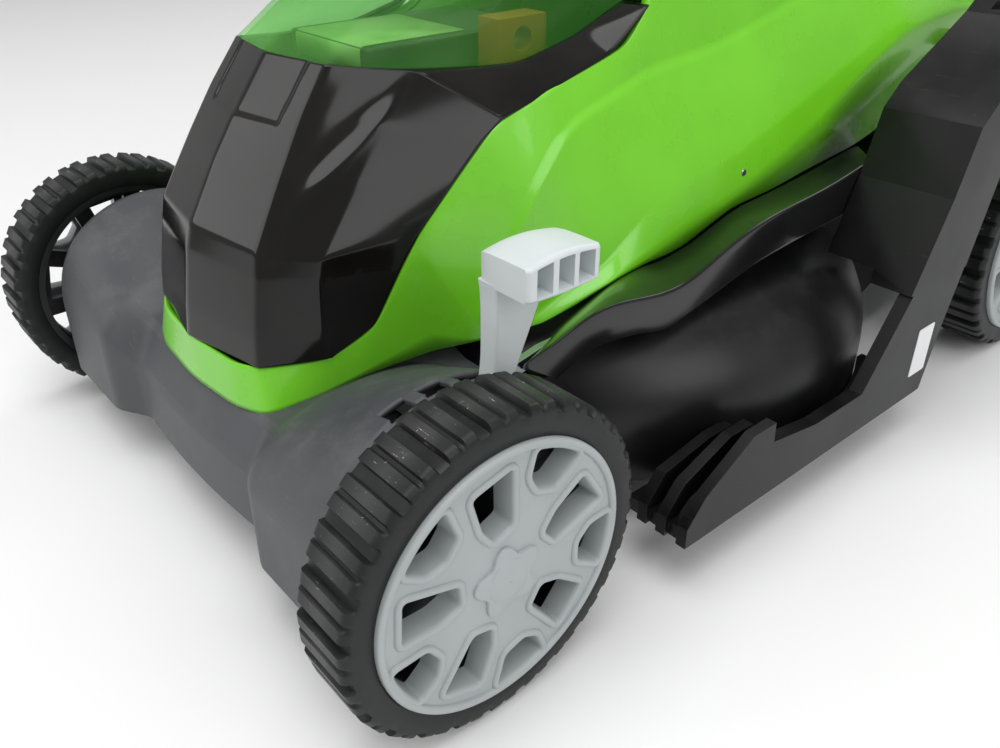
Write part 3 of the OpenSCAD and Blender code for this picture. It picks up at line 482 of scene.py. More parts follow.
def tyre(name, node, body):
    """Closed ring round X: a rounded rectangle section whose outer radius rises and falls with the
    angle, two bars, a groove between them and a valley in each of 24 periods."""
    low, high = box_mm(node)
    radius = (high[2] - low[2]) / 2
    width = high[0] - low[0]
    mid = (low + high) / 2
    tyre_high = 14.0
    periods, samples = 24, 24
    angle = np.linspace(0, 2 * np.pi, periods * samples, endpoint=False)
    within = np.degrees((angle + np.pi / periods) % (2 * np.pi / periods) - np.pi / periods)
    off = np.abs(within)
    bar = 1 - smoothstep(5.0, 5.7, off)
    groove = (1 - smoothstep(0.55, 1.15, off)) * 0.55
    height = np.clip(bar - groove, 0, 1)
    land = radius * math.cos(math.radians(5.4)) / np.cos(np.radians(np.minimum(off, 5.4)))
    valley = radius * math.cos(math.radians(5.4)) - 3.0
    outer = valley + height * (land - valley)
    base = radius - tyre_high
    shoulder = valley - 1.2
    turn = np.linspace(0, np.pi / 2, 5)
    reach = 3.4
    profile = [(0.6, base, 0.0), (0.0, base + 1.0, 0.0), (0.0, base + 6.0, 0.0), (0.0, shoulder, 0.0)]
    profile += [(reach * (1 - math.cos(t)), shoulder, math.sin(t)) for t in turn[1:]]
    flat = np.linspace(reach + 1, width - reach - 1, 9)
    profile += [(x, shoulder, 1.0) for x in flat]
    profile += [(width - x, r, k) for x, r, k in profile[7::-1]]
    profile = np.array(profile)
    r = profile[None, :, 1] + profile[None, :, 2] * (outer[:, None] - shoulder)
    x = np.broadcast_to(profile[None, :, 0], r.shape)
    ring = np.stack([low[0] + x, mid[1] + r * np.cos(angle)[:, None], mid[2] + r * np.sin(angle)[:, None]],
                    axis=-1)
    faces = grid_faces(*ring.shape[:2], wrap_u=True, wrap_v=True)
    piece = new_piece(name, (ring * MM).reshape(-1, 3), faces, TREAD, 32)
    across = np.exp(-(((x - width / 2) / (width * 0.24)) ** 2))
    wear = (height ** 3)[:, None] * profile[None, :, 2] * across
    attribute = piece.data.attributes.new("wear", "FLOAT", "POINT")
    attribute.data.foreach_set("value", wear.astype(np.float32).ravel())
    turned = bmesh.new()
    turned.from_mesh(piece.data)
    bmesh.ops.recalc_face_normals(turned, faces=turned.faces)
    turned.to_mesh(piece.data)
    turned.free()
    return finish_piece(piece, body, "tyre_black", node)


def rounded_loop(points, radius, steps=4):
    """A closed outline whose corners are quadratic arcs."""
    points = np.asarray(points, float)
    before, after = np.roll(points, 1, axis=0), np.roll(points, -1, axis=0)
    t = np.linspace(0, 1, steps + 1)[None, :, None]
    ends = []
    for other in (before, after):
        gap = other - points
        length = np.linalg.norm(gap, axis=1, keepdims=True)
        ends.append((points + gap * np.minimum(radius / length, 0.42))[:, None])
    arcs = (1 - t) ** 2 * ends[0] + 2 * t * (1 - t) * points[:, None] + t ** 2 * ends[1]
    return arcs.reshape(-1, 2)


def loop_normals(loop):
    """Unit normals of a closed outline, pointing away from its middle."""
    along = np.roll(loop, -1, axis=0) - np.roll(loop, 1, axis=0)
    normal = np.stack([along[:, 1], -along[:, 0]], axis=1)
    normal /= np.maximum(np.linalg.norm(normal, axis=1, keepdims=True), 1e-9)
    if np.sum(normal * (loop - loop.mean(axis=0))) < 0:
        normal = -normal
    return normal


def polar(radius, degrees):
    """A point of the wheel's plane from a radius and an angle from +Y towards +Z."""
    a = math.radians(degrees)
    return (radius * math.cos(a), radius * math.sin(a))


def window_outlines(k):
    """Outlines of the five long and the five rim windows of a cap whose radius is 62 k."""
    loops = []
    for turn in range(5):
        c = 98 + 72 * turn
        loops.append(rounded_loop([polar(23.5 * k, c + 8), polar(26.5 * k, c - 14), polar(53 * k, c - 10.5),
                                   polar(51 * k, c + 11.5), polar(33 * k, c + 14)], 2.2 * k))
        c = 62 + 72 * turn
        arc = [polar(57.5 * k, c + a) for a in (-13, -6.5, 0, 6.5, 13)]
        loops.append(rounded_loop(arc + [polar(46 * k, c + 13), polar(40 * k, c + 5),
                                         polar(42 * k, c - 9)], 2.2 * k))
    return loops


def flat_plate(name, outer, holes, depth, bevel, material_used):
    """A plate from an outline and its holes: a filled flat curve with depth and rounded edges."""
    curve = bpy.data.curves.new(name, "CURVE")
    curve.dimensions = "2D"
    curve.fill_mode = "BOTH"
    curve.extrude = depth * MM / 2 - bevel * MM
    curve.bevel_depth = bevel * MM
    curve.bevel_resolution = 2
    curve.offset = -bevel * MM
    for loop in [outer] + holes:
        spline = curve.splines.new("POLY")
        spline.points.add(len(loop) - 1)
        flat = np.zeros((len(loop), 4))
        flat[:, :2] = np.asarray(loop) * MM
        flat[:, 3] = 1
        spline.points.foreach_set("co", flat.ravel())
        spline.use_cyclic_u = True
    carrier = bpy.data.objects.new(name + "_flat", curve)
    bpy.context.scene.collection.objects.link(carrier)
    bpy.context.view_layer.update()
    mesh = bpy.data.meshes.new_from_object(carrier.evaluated_get(bpy.context.evaluated_depsgraph_get()))
    bpy.data.objects.remove(carrier)
    mesh.name = name
    mesh.materials.clear()
    mesh.materials.append(material_used)
    piece = bpy.data.objects.new(name, mesh)
    bpy.context.scene.collection.objects.link(piece)
    return piece


def stand_up(piece, side, x, y, z):
    """Turn a flat plate drawn in Y and Z onto its wheel plane: its face looks along the side."""
    turn = Matrix(((0, 0, side, 0), (1, 0, 0, 0), (0, 1, 0, 0), (0, 0, 0, 1)))
    piece.data.transform(Matrix.Translation((x * MM, y * MM, z * MM)) @ turn)
    return piece


def carried_frame(loop, profile):
    """A closed tube: the profile's points (away from the outline, height) carried round the outline."""
    normal = loop_normals(loop)
    profile = np.asarray(profile, float)
    flat = loop[:, None, :] + normal[:, None, :] * profile[None, :, :1]
    height = np.broadcast_to(profile[None, :, 1:], flat.shape[:2] + (1,))
    return np.concatenate([flat, height], axis=2)


FRAME_PROFILE = [(3.4, -1.0), (3.3, 0.3), (2.7, 1.1), (1.9, 1.45), (0.9, 1.35), (0.2, 0.7), (-0.25, -0.6),
                 (-0.7, -WINDOW_DEPTH), (0.8, -WINDOW_DEPTH), (1.2, -1.4)]

def hubcap(name, node, body, side):
    """Cap: a plate with ten windows, a raised frame round each, a rim ring, a five-lobed boss."""
    low, high = box_mm(node)
    mid = (low + high) / 2
    radius = (high[2] - low[2]) / 2
    k = radius / 62
    out = high[0] if side > 0 else low[0]
    face = out - side * 3.0
    loops = window_outlines(k)
    turn = np.radians(np.arange(0, 360, 3.0))
    circle = np.stack([np.cos(turn), np.sin(turn)], axis=1)
    plate = flat_plate(name, circle * (radius - 0.6), loops, 2.4, 0.3, HUBCAP)
    plate.data.transform(Matrix.Translation((0, 0, -1.2 * MM)))
    parts = [plate]
    verts, faces = [], []
    count = 0

    def add(points, closed_v=True):
        nonlocal count
        nu, nv = points.shape[:2]
        verts.append(points.reshape(-1, 3))
        faces.append(grid_faces(nu, nv, wrap_u=True, wrap_v=closed_v) + count)
        count += nu * nv

    for loop in loops:
        add(carried_frame(loop, FRAME_PROFILE))
    ring = [(-1.2, -3.0), (0.0, -3.0), (0.0, 0.6), (-0.4, 1.4), (-1.2, 1.8), (-2.6, 1.7), (-3.4, 1.0),
            (-3.8, -0.2), (-3.8, -1.5)]
    add(carried_frame(circle * radius, ring))
    lobe = 14.6 * k + 2.6 * k * np.cos(5 * (turn - math.radians(98)))
    star = circle * lobe[:, None]
    levels = [(1.0, -1.5), (1.0, 1.0), (0.97, 1.5), (0.93, 1.7), (0.74, 1.7), (0.66, 1.75), (0.6, 2.3),
              (0.45, 2.75), (0.25, 2.9), (0.02, 2.95)]
    rings = []
    for share, height in levels:
        outline = star * share if share > 0.7 else circle * 15.5 * k * share
        rings.append(np.concatenate([outline, np.full((len(star), 1), height)], axis=1))
    add(np.stack(rings, axis=1), closed_v=False)
    extra = new_piece(name + "_relief", np.concatenate(verts) * MM, np.concatenate(faces), HUBCAP, 40)
    tidy(extra, merge=0.000002)
    smooth_by_angle(plate.data, 30)
    for part, suffix in ((plate, ""), (extra, "")):
        stand_up(part, side, face, mid[1], mid[2])
        if side < 0:
            part.data.flip_normals()
        finish_piece(part, body, "hubcap_grey", node)
    return plate


# ---------------------------------------------------------------- softened copies

def softened(node, body, slot, mat, mm=1.0, degrees=30.0, segments=2):
    """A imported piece's own shape with merged points, joined flat faces and rounded edges."""
    source = NODES[node]
    mesh = source.data.copy()
    mesh.name = node + "_moulded"
    piece = bpy.data.objects.new(node + "_moulded", mesh)
    bpy.context.scene.collection.objects.link(piece)
    mesh.materials.clear()
    mesh.materials.append(mat)
    bm = bmesh.new()
    bm.from_mesh(mesh)
    for face in bm.faces:
        face.material_index = 0
    bmesh.ops.remove_doubles(bm, verts=bm.verts, dist=0.000005)
    bmesh.ops.dissolve_limit(bm, angle_limit=math.radians(1.0), verts=bm.verts, edges=bm.edges)
    bm.to_mesh(mesh)
    bm.free()
    smooth_by_angle(mesh, degrees)
    if mm > 0:
        round_edges(piece, mm, segments, degrees)
    return finish_piece(piece, body, slot, node)


# ---------------------------------------------------------------- covers

# Green cover, stations from the middle of the nose to the rear. Each gives the lower edge, the two
# lines of the side step, the two of the upper crease and the edge of the bay or roof.
BAND = [
    [(0, -252, 92), (0, -249, 115)], [(40, -249, 92.5), (38, -246, 115)],
    [(61, -242, 93.5), (54, -239, 116)], [(69, -217, 98.5), (71, -213, 118)],
    [(75, -197, 104.5), (78, -190, 130)], [(80, -172, 107), (82, -175, 158)],
    [(83, -160, 108.5), (84, -166, 173)],
]
FLANK = [
    [(91, -140, 109.5), (92, -140, 113), (92.5, -140, 116), (93, -139, 119), (92, -141, 122),
     (86.5, -140, 200)],
    [(99, -120, 112), (99, -120, 114), (99, -119, 118), (99, -118, 165), (96, -121, 168),
     (88, -124, 216)],
    [(106, -108, 115), (105, -108, 117), (103, -107, 121), (100, -106, 184), (97, -109, 187),
     (88.5, -105, 222)],
    [(113, -90, 123), (113, -90, 125), (107, -89, 129), (98, -90, 202), (95, -92, 205),
     (89, -90, 227)],
    [(118, -72, 130.5), (118, -72, 132), (110, -70, 136), (96, -76, 210), (93.5, -77, 213),
     (89.5, -66, 233)],
    [(118, -45, 134), (118, -45, 139), (111.5, -42, 158), (95, -50, 217), (92.5, -50, 220),
     (90, -41, 240)],
    [(118, -30, 134), (118, -30, 143), (112.3, -25, 165), (94, -30, 222.5), (91.5, -30, 226),
     (90, -25, 259)],
    [(118, -15, 135.5), (118, -12, 148), (113, -8, 169), (94, -12, 224.5), (91.5, -12, 228),
     (84, -14, 290)],
    [(118, 25, 147.5), (118, 28, 156), (114, 28, 175), (94, 28, 228), (91.5, 28, 231), (83, 28, 291)],
    [(118, 61, 149), (118, 70, 170), (114, 70, 189), (94, 68, 236.5), (91.5, 68, 240), (83, 68, 288)],
    [(118, 100, 154), (118, 104, 184), (114, 104, 200), (94, 104, 245), (91.5, 104, 249),
     (84, 104, 282)],
    [(118, 149, 158.5), (118, 150, 208), (114, 150, 217), (95, 150, 249), (92, 150, 252),
     (86, 150, 272)],
    [(118, 190, 168), (118, 190, 224), (114, 190, 230), (96, 190, 250), (93, 190, 252),
     (88, 190, 262)],
    [(118, 240, 185), (118, 240, 229), (114, 240, 233), (98, 240, 244), (95, 240, 246),
     (90, 240, 248)],
    [(118, 278, 200), (118, 278, 229), (114, 278, 232), (100, 278, 236), (97, 278, 237),
     (92, 278, 238)],
]
ROOF_FROM = 14


def even_lines(pair, count):
    """A section of count points spaced evenly between a lower and an upper one."""
    low, high = np.array(pair[0], float), np.array(pair[1], float)
    return low + (high - low) * np.linspace(0, 1, count)[:, None]


def with_lip(stations):
    """Each section continued by a lip that turns in at the bay, or by the start of the roof."""
    out = []
    for k, section in enumerate(stations):
        top = section[-1]
        front = k < 3
        inward = np.array([-min(5.0, top[0]) if not front else -0.4 * top[0] / 54,
                           4.0 if k < 4 else 0.0, -2.5])
        roof = np.array([-16.0, 0.0, 1.2])
        out.append(np.concatenate([section, (top + (roof if k >= ROOF_FROM else inward))[None]]))
    return np.array(out)


def cover():
    """Green cover: flanks lofted over the stations with rounded lines, a roof that joins them with a
    slight crown, and a rear wall that closes each last section to the middle plane."""
    half = with_lip(np.array([even_lines(pair, 6) for pair in BAND] + FLANK, float))
    both = np.concatenate([(half * (-1.0, 1.0, 1.0))[:0:-1], half])
    per = 10
    count = (len(both) - 1) * per + 1
    lines = resample(both, count, 1.8)
    skin = round_section(lines, 2.2, 3)
    middle = count // 2
    first = ROOF_FROM * per
    right = skin[middle + first:, -1]
    left = skin[:middle - first + 1][::-1, -1]
    t = np.linspace(0, 1, 13)[None, :, None]
    roof = left[:, None] * (1 - t) + right[:, None] * t
    roof[..., 2] += (2.2 * 4 * t * (1 - t))[..., 0]
    curtain = [np.stack([section, section * (0.0, 1.0, 1.0)]) for section in skin[[0, -1]]]
    verts, faces, start = [], [], 0
    for sheet in [skin, roof] + curtain:
        verts.append(sheet.reshape(-1, 3))
        faces.append(grid_faces(*sheet.shape[:2]) + start)
        start += len(verts[-1])
    piece = new_piece("cover_moulding", place(np.concatenate(verts)), np.concatenate(faces), GREEN, 40)
    tidy(piece, merge=0.0003)
    smooth_by_angle(piece.data, 40)
    thicken(piece, 2.4)
    return finish_piece(piece, "chassis", "cover_green", "top_cover")


# Black nose: rows of the front centre, front corner, side corner and side edge, from the foot up
NOSE_ROWS = [
    [(0, -250, 115), (54, -240, 116), (72, -214, 119), (72.5, -211, 119)],
    [(0, -248, 130), (53.5, -238.5, 130), (71.7, -213.7, 130), (78, -190, 131)],
    [(0, -243, 158), (51.5, -233.5, 158), (70.5, -212.5, 158), (82, -175, 159)],
    [(0, -239, 171), (50, -231, 170), (70, -211, 168), (84, -166, 173)],
    [(0, -222, 200), (47, -213, 200), (66.5, -190, 195), (86, -145, 195)],
    [(0, -207, 222), (44.5, -199, 222), (63, -169, 218), (87.3, -130, 210)],
    [(0, -191, 243), (42.5, -183, 243), (60, -147, 238), (88, -120, 217)],
]
# Its side strip goes on below the lid, from the last row to the bay's rear corner
NOSE_STRIP = [
    [(60, -147, 238), (88, -120, 217)], [(67, -118, 237), (88.8, -95, 224)],
    [(72, -96, 236.5), (89.3, -75, 230.5)], [(73.5, -60, 245), (89.8, -50, 238)],
    [(74, -30, 257), (90, -27, 257)],
]


def nose():
    """Black nose: faces lofted over the rows, with rounded corners, a fold that rises from the break of
    the front corner to the side corner, and a shallow recess high on the front."""
    rows = np.array(NOSE_ROWS, float)
    rows = resample(rows, 181, 2.4)
    lines = [np.concatenate([row[:1], row[:1] + (row[1:2] - row[:1]) * 0.5, row[1:2],
                             row[1:2] + (row[2:3] - row[1:2]) * 0.5, row[2:3],
                             row[2:3] + (row[3:4] - row[2:3]) * 0.5, row[3:4]]) for row in rows]
    lines = np.array(lines)
    half = []
    for row in lines:
        section = [row[0] + (row[2] - row[0]) * t for t in np.linspace(0, 1, 40)[:-1]]
        section += [row[2] + (row[4] - row[2]) * t for t in np.linspace(0, 1, 32)[:-1]]
        section += [row[4] + (row[6] - row[4]) * t for t in np.linspace(0, 1, 30)]
        half.append(section)
    half = np.array(half)
    weights = np.exp(-0.5 * (np.arange(-3, 4) / 1.1) ** 2)
    weights /= weights.sum()
    past = 2 * half[:, -1:] - half[:, -2:-5:-1]
    padded = np.concatenate([half[:, 3:0:-1] * (-1, 1, 1), half, past], axis=1)
    half = sum(w * padded[:, k:k + half.shape[1]] for k, w in enumerate(weights))
    z = half[..., 2]
    part = (np.arange(half.shape[1]) - 39) / 31.0
    on_side = (part > 0) & (part < 1)
    fold_z = 172 + 40 * np.clip(part, 0, 1)
    swell = np.where(on_side, np.sin(np.pi * np.clip(part, 0, 1)), 0)[None]
    rise = np.exp(-((z - fold_z[None]) / 11.0) ** 2) * swell ** 1.5
    above = smoothstep(2, 18, z - fold_z[None]) * (1 - smoothstep(18, 52, z - fold_z[None])) * swell ** 1.5
    outward = np.zeros_like(half)
    outward[..., 0] = 0.78
    outward[..., 1] = -0.6
    half = half + outward * (1.3 * rise - 1.6 * above)[..., None]
    x = half[..., 0]
    recess = (1 - smoothstep(30.0, 32.5, x)) * smoothstep(217.0, 219.5, z)
    half[..., 1] += 1.0 * recess
    full = mirror_half(half[:, ::-1])
    strip = resample(np.array(NOSE_STRIP, float), 60, 2.0)
    t = np.linspace(0, 1, 12)[None, :, None]
    right = strip[:, :1] * (1 - t) + strip[:, 1:] * t
    verts = [full.reshape(-1, 3), right.reshape(-1, 3), (right * (-1, 1, 1)).reshape(-1, 3)]
    faces = [grid_faces(*full.shape[:2])]
    start = len(verts[0])
    for _ in range(2):
        faces.append(grid_faces(60, 12) + start)
        start += len(verts[1])
    piece = new_piece("nose_moulding", place(np.concatenate(verts)), np.concatenate(faces), NOSE, 26)
    tidy(piece, merge=0.00008)
    smooth_by_angle(piece.data, 32)
    thicken(piece, 2.2)
    return finish_piece(piece, "chassis", "nose_black", "nose_cover")


# Clear lid: rows of the middle, the upper line, the lower line and the foot, from front to rear
LID_ROWS = [
    [(0, -190, 244), (42, -182.5, 243), (43, -182, 242.5), (43.5, -181.5, 242)],
    [(0, -162, 267), (38, -154, 266), (50, -149, 255), (60, -145, 239)],
    [(0, -112, 284), (38, -108, 281), (60, -101, 266), (72, -96, 236)],
    [(0, -60, 290), (40, -58, 287), (65, -50, 276), (74, -44, 249)],
    [(0, -24, 291), (40, -24, 289), (66, -24, 281), (74, -27, 258)],
]


def lid():
    """Clear lid: a shell lofted over the rows with rounded lines and a closed rear wall."""
    rows = resample(np.array(LID_ROWS, float), 61, 3.0)
    lines = mirror_half(rows[:, ::-1])
    shell = round_section(lines, 6.0, 6)
    foot = shell[-1].copy()
    foot[:, 2] = 258
    rear = np.stack([shell[-1], foot], axis=0)
    verts = [shell.reshape(-1, 3), rear.reshape(-1, 3)]
    faces = [grid_faces(*shell.shape[:2]), grid_faces(*rear.shape[:2]) + len(verts[0])]
    piece = new_piece("lid_moulding", place(np.concatenate(verts)), np.concatenate(faces), CLEAR, 30)
    tidy(piece, merge=0.0002)
    smooth_by_angle(piece.data, 30)
    thicken(piece, 2.2)
    return finish_piece(piece, "lid", "lid_clear", "battery_lid")


# ---------------------------------------------------------------- apron

def curve(value, xs, ys):
    """Straight lines between the given points."""
    return np.interp(value, xs, ys)


def apron_profile(x):
    """Side profile of the apron at x: a sloped nose in the middle, a barrel over each front wheel."""
    t = np.linspace(0, 1, 61)
    bow = 3 * (1 - min(x / 62, 1) ** 2)
    slope = np.array([(-257 - bow, 35), (-257 - bow, 68), (-255.5 - bow, 73), (-246 - bow * 0.7, 91),
                      (-243, 94), (-197, 103), (-142, 106)], float)
    run = np.concatenate([[0], np.cumsum(np.linalg.norm(np.diff(slope, axis=0), axis=1))])
    run /= run[-1]
    nose_line = np.stack([np.interp(t, run, slope[:, k]) for k in (0, 1)], axis=1)
    top = curve(x, [62, 80, 136, 150, 156, 160], [101, 108, 134, 138, 136.5, 131])
    front = curve(x, [60, 72, 90, 150, 157, 160], [-257, -265, -268.5, -268.5, -266.5, -262])
    rear = -142.0
    turn = np.pi * np.clip((t - 0.16) / 0.84, 0, 1)
    y = (front + rear) / 2 - (rear - front) / 2 * np.cos(turn)
    z = np.where(t < 0.16, 35 + (77 - 35) * t / 0.16, 77 + (top - 77) * np.sin(turn) ** 0.9)
    barrel = np.stack([y, z], axis=1)
    back = t > 0.5
    barrel[back, 1] = np.maximum(barrel[back, 1], 98)
    mix = smoothstep(61.0, 88.0, x)
    return nose_line * (1 - mix) + barrel * mix


SLOTS = [(-232.0, -220.0), (-214.5, -202.0), (-197.0, -184.5), (-184.5, -171.5), (-167.0, -157.0)]


def apron():
    """Front apron: profiles swept across X, an outer wall let down beside each wheel, and a row of
    small openings for the height lever in the right fender."""
    xs = np.concatenate([np.linspace(0, 60, 9), np.linspace(61, 90, 24), np.linspace(92, 140, 20),
                         np.linspace(142, 152, 21), np.linspace(153, 160, 9)])
    sheet = np.array([[(x, y, z) for y, z in apron_profile(x)] for x in xs])
    fine = resample(np.transpose(sheet, (1, 0, 2)), 361).transpose(1, 0, 2)
    wall = []
    for fall in (0.12, 0.4, 0.8):
        row = fine[-1].copy()
        row[:, 2] = 40 + (row[:, 2] - 40) * (1 - fall)
        row[:, 0] = 160.4
        wall.append(row)
    fine = np.concatenate([fine, np.array(wall)])
    centre = (fine[:-1, :-1] + fine[1:, 1:]) / 2
    keep = np.ones(centre.shape[:2], bool)
    over = (centre[..., 2] > 104) & (centre[..., 0] > 142.2) & (centre[..., 0] < 152.0)
    for low, high in SLOTS:
        keep &= ~(over & (centre[..., 1] > low) & (centre[..., 1] < high))
    faces = grid_faces(*fine.shape[:2], keep=keep)
    verts = fine.reshape(-1, 3)
    mirrored = verts * (-1, 1, 1)
    other = grid_faces(*fine.shape[:2])[:, ::-1] + len(verts)
    piece = new_piece("apron_moulding", place(np.concatenate([verts, mirrored])),
                      np.concatenate([faces, other]), DECK, 35)
    tidy(piece, merge=0.00004)
    smooth_by_angle(piece.data, 40)
    thicken(piece, 2.6)
    return finish_piece(piece, "chassis", "deck_plastic", "front_apron")


# ---------------------------------------------------------------- rails, knob, lever, sticker

RAIL_INNER = [(-138, 104), (-111, 120), (-72, 131.5), (-50, 134), (-36, 133), (-11, 136), (25, 147.5),
              (61, 149), (149, 158.5)]
RAIL_OUTER = [(-158, 131), (-144, 134), (-120, 141), (-102, 141), (-70, 134.5), (-48, 135), (-10, 149),
              (22, 154), (74, 157), (112, 164)]
RAIL_LOWER = [(-139, 114), (-115, 122.5), (-84, 118), (-66, 113), (-53, 113.5), (8, 128), (71, 133),
              (103, 135)]


def rail(side):
    """Side rail: four smoothed waves along Y joined into a closed bar with rounded upper edges."""
    count = 150

    def wave(points, x, drop=0.0):
        line = resample(np.array(points, float), count, 5.0)
        return np.stack([np.full(count, float(x)), line[:, 0], line[:, 1] - drop], axis=1)

    inner, outer = wave(RAIL_INNER, 118.8), wave(RAIL_OUTER, 149.2)
    lower = wave(RAIL_LOWER, 149.2)
    flange = outer + (0.3, 0, -4.0)
    under = lower + (-3.0, 0, 0)
    below = inner + (0, 0, -6)
    section = np.stack([below, inner, outer, flange, lower, under, below], axis=1)
    section[:, :, 0] *= side
    skin = round_section(section, 2.4, 4)
    piece = new_piece("rail_moulding_" + ("r" if side > 0 else "l"), place(skin.reshape(-1, 3)),
                      grid_faces(*skin.shape[:2]), RAIL, 35)
    close_ends(piece, merge=0.00002)
    smooth_by_angle(piece.data, 35)
    return finish_piece(piece, "chassis", "frame_plastic", "side_rail_" + ("r" if side > 0 else "l"))


def knob():
    """Height knob: a rounded box with a domed top whose outer face has three deep windows."""
    low, high = np.array([142.0, -181.0, 174.5]), np.array([173.5, -141.0, 192.0])
    ys = np.linspace(low[1], high[1], 81)
    zs = np.linspace(0, 1, 37)
    yy, zz = np.meshgrid(ys, zs, indexing="ij")
    mid_y = (low[1] + high[1]) / 2
    crown = 2.6 * (1 - ((yy - mid_y) / 20.0) ** 2)
    foot = low[2] - 1.2 * (1 - ((yy - mid_y) / 20.0) ** 2)
    face_z = foot + (high[2] - 3.0 + crown - foot) * zz
    depth = np.zeros_like(yy)
    for k in range(3):
        y0 = low[1] + 5.0 + k * 11.4
        y1 = y0 + 7.6
        inside = smoothstep(y0 - 0.4, y0 + 0.1, yy) * (1 - smoothstep(y1 - 0.1, y1 + 0.4, yy))
        inside *= smoothstep(0.13, 0.16, zz) * (1 - smoothstep(0.84, 0.87, zz))
        depth = np.maximum(depth, inside)
    edge = 2.4
    near_y = np.clip((edge - (yy - low[1])) / edge, 0, 1) + np.clip((edge - (high[1] - yy)) / edge, 0, 1)
    near_z = np.clip((0.10 - zz) / 0.10, 0, 1) + np.clip((zz - 0.90) / 0.10, 0, 1)
    rounding = 1.6 * np.clip(near_y ** 2 + near_z ** 2, 0, 1.4)
    face = np.stack([high[0] - rounding - 11.0 * depth, yy, face_z], axis=-1)
    outline = np.concatenate([face[:, 0], face[-1, 1:], face[-2::-1, -1], face[0, -2:0:-1]])
    centre = outline.mean(axis=0)
    rows = []
    for x, shrink, sag in ((171.0, 1.0, 0.0), (160.0, 1.0, 0.0), (152.0, 0.985, 0.3), (147.0, 0.94, 1.0),
                           (144.0, 0.86, 2.2), (142.4, 0.7, 3.6), (142.0, 0.45, 4.2), (142.0, 0.05, 4.2)):
        ring = centre + (outline - centre) * (1, 0.5 + 0.5 * shrink, shrink)
        ring[:, 0] = np.minimum(x, outline[:, 0])
        ring[:, 2] -= sag * 0.4
        rows.append(ring)
    rows = np.array([outline] + rows)
    verts = [face.reshape(-1, 3), rows.reshape(-1, 3)]
    faces = [grid_faces(*face.shape[:2]), grid_faces(*rows.shape[:2], wrap_v=True) + face[..., 0].size]
    piece = new_piece("knob_moulding", place(np.concatenate(verts)), np.concatenate(faces), KNOB, 30)
    tidy(piece, merge=0.00008)
    smooth_by_angle(piece.data, 40)
    return finish_piece(piece, body_name("height_knob"), "knob_white", "height_knob")


def lever():
    """Height lever: a flat stem, narrow below the knob and widening up to it, with rounded edges."""
    shape = [(175.5, -181, -151), (168, -180, -154), (150, -180.0, -161), (135, -180.5, -167),
             (120, -184, -171), (100, -184.5, -171.5), (64, -184.5, -171.5)]
    levels = resample(np.array([[(0, y, z) for y in (a, b)] for z, a, b in shape], float), 60, 2.5)
    rows = []
    for front, rear in levels:
        z = front[2]
        width = curve(z, [64, 110, 135, 176], [7.5, 8.5, 10.5, 12.5])
        x0 = curve(z, [64, 110, 135, 176], [143.4, 143.2, 142.8, 142.6])
        rows.append([(x0, front[1], z), (x0 + width, front[1], z), (x0 + width, rear[1], z),
                     (x0, rear[1], z)])
    rows = np.array(rows)
    ring = np.concatenate([rows, rows[:, :2]], axis=1)
    skin = round_section(ring, 1.6, 3)[:, 1:-1]
    piece = new_piece("lever_moulding", place(skin.reshape(-1, 3)),
                      grid_faces(*skin.shape[:2], wrap_v=True), KNOB, 40)
    close_ends(piece)
    smooth_by_angle(piece.data, 40)
    return finish_piece(piece, body_name("height_lever"), "knob_white", "height_lever")


def sticker():
    """A plain pale sticker on the outer face of the right side frame."""
    x = box_mm("side_frame_r")[1][0] + 0.15
    loop = rounded_loop([(-9, -16), (9, -16), (9, 16), (-9, 16)], 1.5)
    plate = flat_plate("plain_sticker", loop, [], 0.4, 0.05, STICKER)
    stand_up(plate, 1, x, 109 + SHIFT_Y, 62)
    return finish_piece(plate, "chassis", "knob_white")


def battery_label():
    """A blank pale label laid over the battery's top face and bent down over its front edge."""
    low, high = box_mm("battery_pack")
    path = [(low[1] + 64, high[2] + 0.25), (low[1] + 1.6, high[2] + 0.25), (low[1] - 0.25, high[2] - 1.6),
            (low[1] - 0.25, high[2] - 12)]
    verts = [(x, y, z) for x in (low[0] + 6, high[0] - 6) for y, z in path]
    piece = new_piece("battery_label_sheet", np.array(verts) * MM, grid_faces(2, len(path)), LABEL, 60)
    thicken(piece, 0.2)
    return finish_piece(piece, body_name("battery_pack"), "pack_grey")


# ---------------------------------------------------------------- all pieces by default

SLOT_OF = {part["node"]: part["material_slot"] for part in frame["record"]["subparts"]}
FINISH = {
    "housing_plastic": HOUSING, "frame_plastic": FRAME, "cover_green": GREEN, "inner_black": INNER,
    "wheel_black": RIM, "steel_zinc": STEEL, "blade_steel": BLADE, "motor_grey": ALLOY,
    "pack_grey": PACK, "board_green": BOARD, "contact_brass": BRASS, "key_orange": KEY,
    "catcher_black": CATCHER, "tube_black": COAT, "foam_black": FOAM, "bail_steel": PLATED,
}
ROUNDING = {
    "deck": 2.0, "side_frame_l": 4.0, "side_frame_r": 4.0, "battery_tray": 0.8, "battery_pack": 1.5,
    "catcher_bin": 3.0, "catcher_top": 2.5, "fill_gauge": 1.2, "rear_flap": 1.2, "switch_box": 4.0,
    "motor_housing": 1.2, "cutting_blade": 0.5, "safety_key": 0.8,
}
done = set()

for corner in ("fl", "fr", "rl", "rr"):
    side = 1 if corner[1] == "r" else -1
    tyre("tyre_tread_" + corner, "tyre_" + corner, body_name("tyre_" + corner))
    hubcap("cap_" + corner, "hubcap_" + corner, body_name("hubcap_" + corner), side)
    done |= {"tyre_" + corner, "hubcap_" + corner}

cover()
nose()
lid()
apron()
rail(1)
rail(-1)
knob()
lever()
sticker()
battery_label()
done |= {"top_cover", "nose_cover", "battery_lid", "front_apron", "side_rail_r", "side_rail_l",
         "height_knob", "height_lever"}

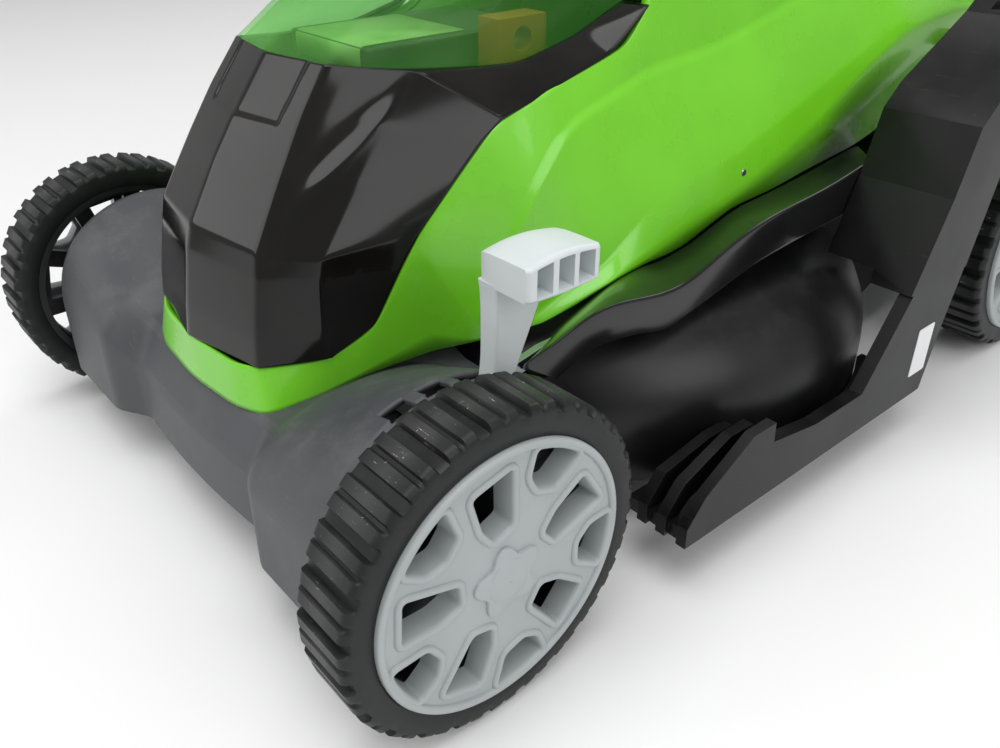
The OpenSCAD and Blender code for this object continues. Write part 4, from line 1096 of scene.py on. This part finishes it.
for node in sorted(NODES):
    if node not in done:
        softened(node, body_name(node), SLOT_OF[node], FINISH[SLOT_OF[node]], ROUNDING.get(node, 0.4))

# ---------------------------------------------------------------- stage, light, camera

scene = bpy.context.scene


def floor():
    """A pale flat floor, an even grid 14 m square at ground level."""
    across = np.linspace(-7.0, 7.0, 15)
    along = np.linspace(-7.0, 7.0, 15)
    xx, yy = np.meshgrid(across, along, indexing="ij")
    points = np.stack([xx, yy, np.zeros_like(xx)], axis=-1).reshape(-1, 3)
    mat = bpy.data.materials.new("studio_floor")
    mat.use_nodes = True
    tree = mat.node_tree
    shader = tree.nodes["Principled BSDF"]
    surface = use_group(tree, GRAIN, Grain=60.0, Cloud=0.6)
    shade = mix_colour(tree, surface.outputs["Cloud"], (0.84, 0.84, 0.84), (0.88, 0.88, 0.88))
    tree.links.new(shade, shader.inputs["Base Color"])
    shader.inputs["Roughness"].default_value = 0.55
    piece = new_piece("studio_floor", points, grid_faces(15, 15), mat)
    return piece


def area_light(name, where, towards, size, power, size_y=None):
    """A soft rectangular lamp aimed at a point."""
    lamp = bpy.data.lights.new(name, "AREA")
    lamp.shape = "RECTANGLE"
    lamp.size = size
    lamp.size_y = size_y or size
    lamp.energy = power
    holder = bpy.data.objects.new(name, lamp)
    scene.collection.objects.link(holder)
    gap = np.array(towards, float) - np.array(where, float)
    aim = Vector(gap.tolist()).to_track_quat("-Z", "Y")
    holder.location = where
    holder.rotation_euler = aim.to_euler()
    return holder


floor()
front_y = place((0, -250, 0))[1]
area_light("key_above", (0.3, front_y - 0.3, 2.2), (0.0, front_y + 0.3, 0.1), 1.8, 34)
area_light("side_soft", (2.0, front_y + 0.2, 1.3), (0.1, front_y + 0.3, 0.15), 1.4, 15)
area_light("front_soft", (-1.2, front_y - 1.6, 1.2), (0.0, front_y + 0.2, 0.15), 1.4, 12)
area_light("back_soft", (-0.6, front_y + 2.2, 1.8), (0.0, front_y + 0.4, 0.3), 1.4, 13)

world = bpy.data.worlds.new("studio")
world.use_nodes = True
world.node_tree.nodes["Background"].inputs["Color"].default_value = (1.0, 1.0, 1.0, 1.0)
world.node_tree.nodes["Background"].inputs["Strength"].default_value = 0.42
scene.world = world

camera_data = bpy.data.cameras.new("camera")
camera_data.lens = 32.94
camera_data.sensor_width = 36.0
camera_data.shift_x = 0.008
camera_data.shift_y = -0.014
camera_data.clip_start = 0.01
camera_data.clip_end = 60.0
camera = bpy.data.objects.new("camera", camera_data)
scene.collection.objects.link(camera)
azimuth, elevation, roll = math.radians(49.7), math.radians(30.3), math.radians(-0.2)
camera.matrix_world = (Matrix.Translation(place((402, -393, 333)).tolist())
                       @ Matrix.Rotation(azimuth, 4, "Z")
                       @ Matrix.Rotation(math.pi / 2 - elevation, 4, "X")
                       @ Matrix.Rotation(roll, 4, "Z"))
scene.camera = camera
scene.view_settings.view_transform = "Standard"
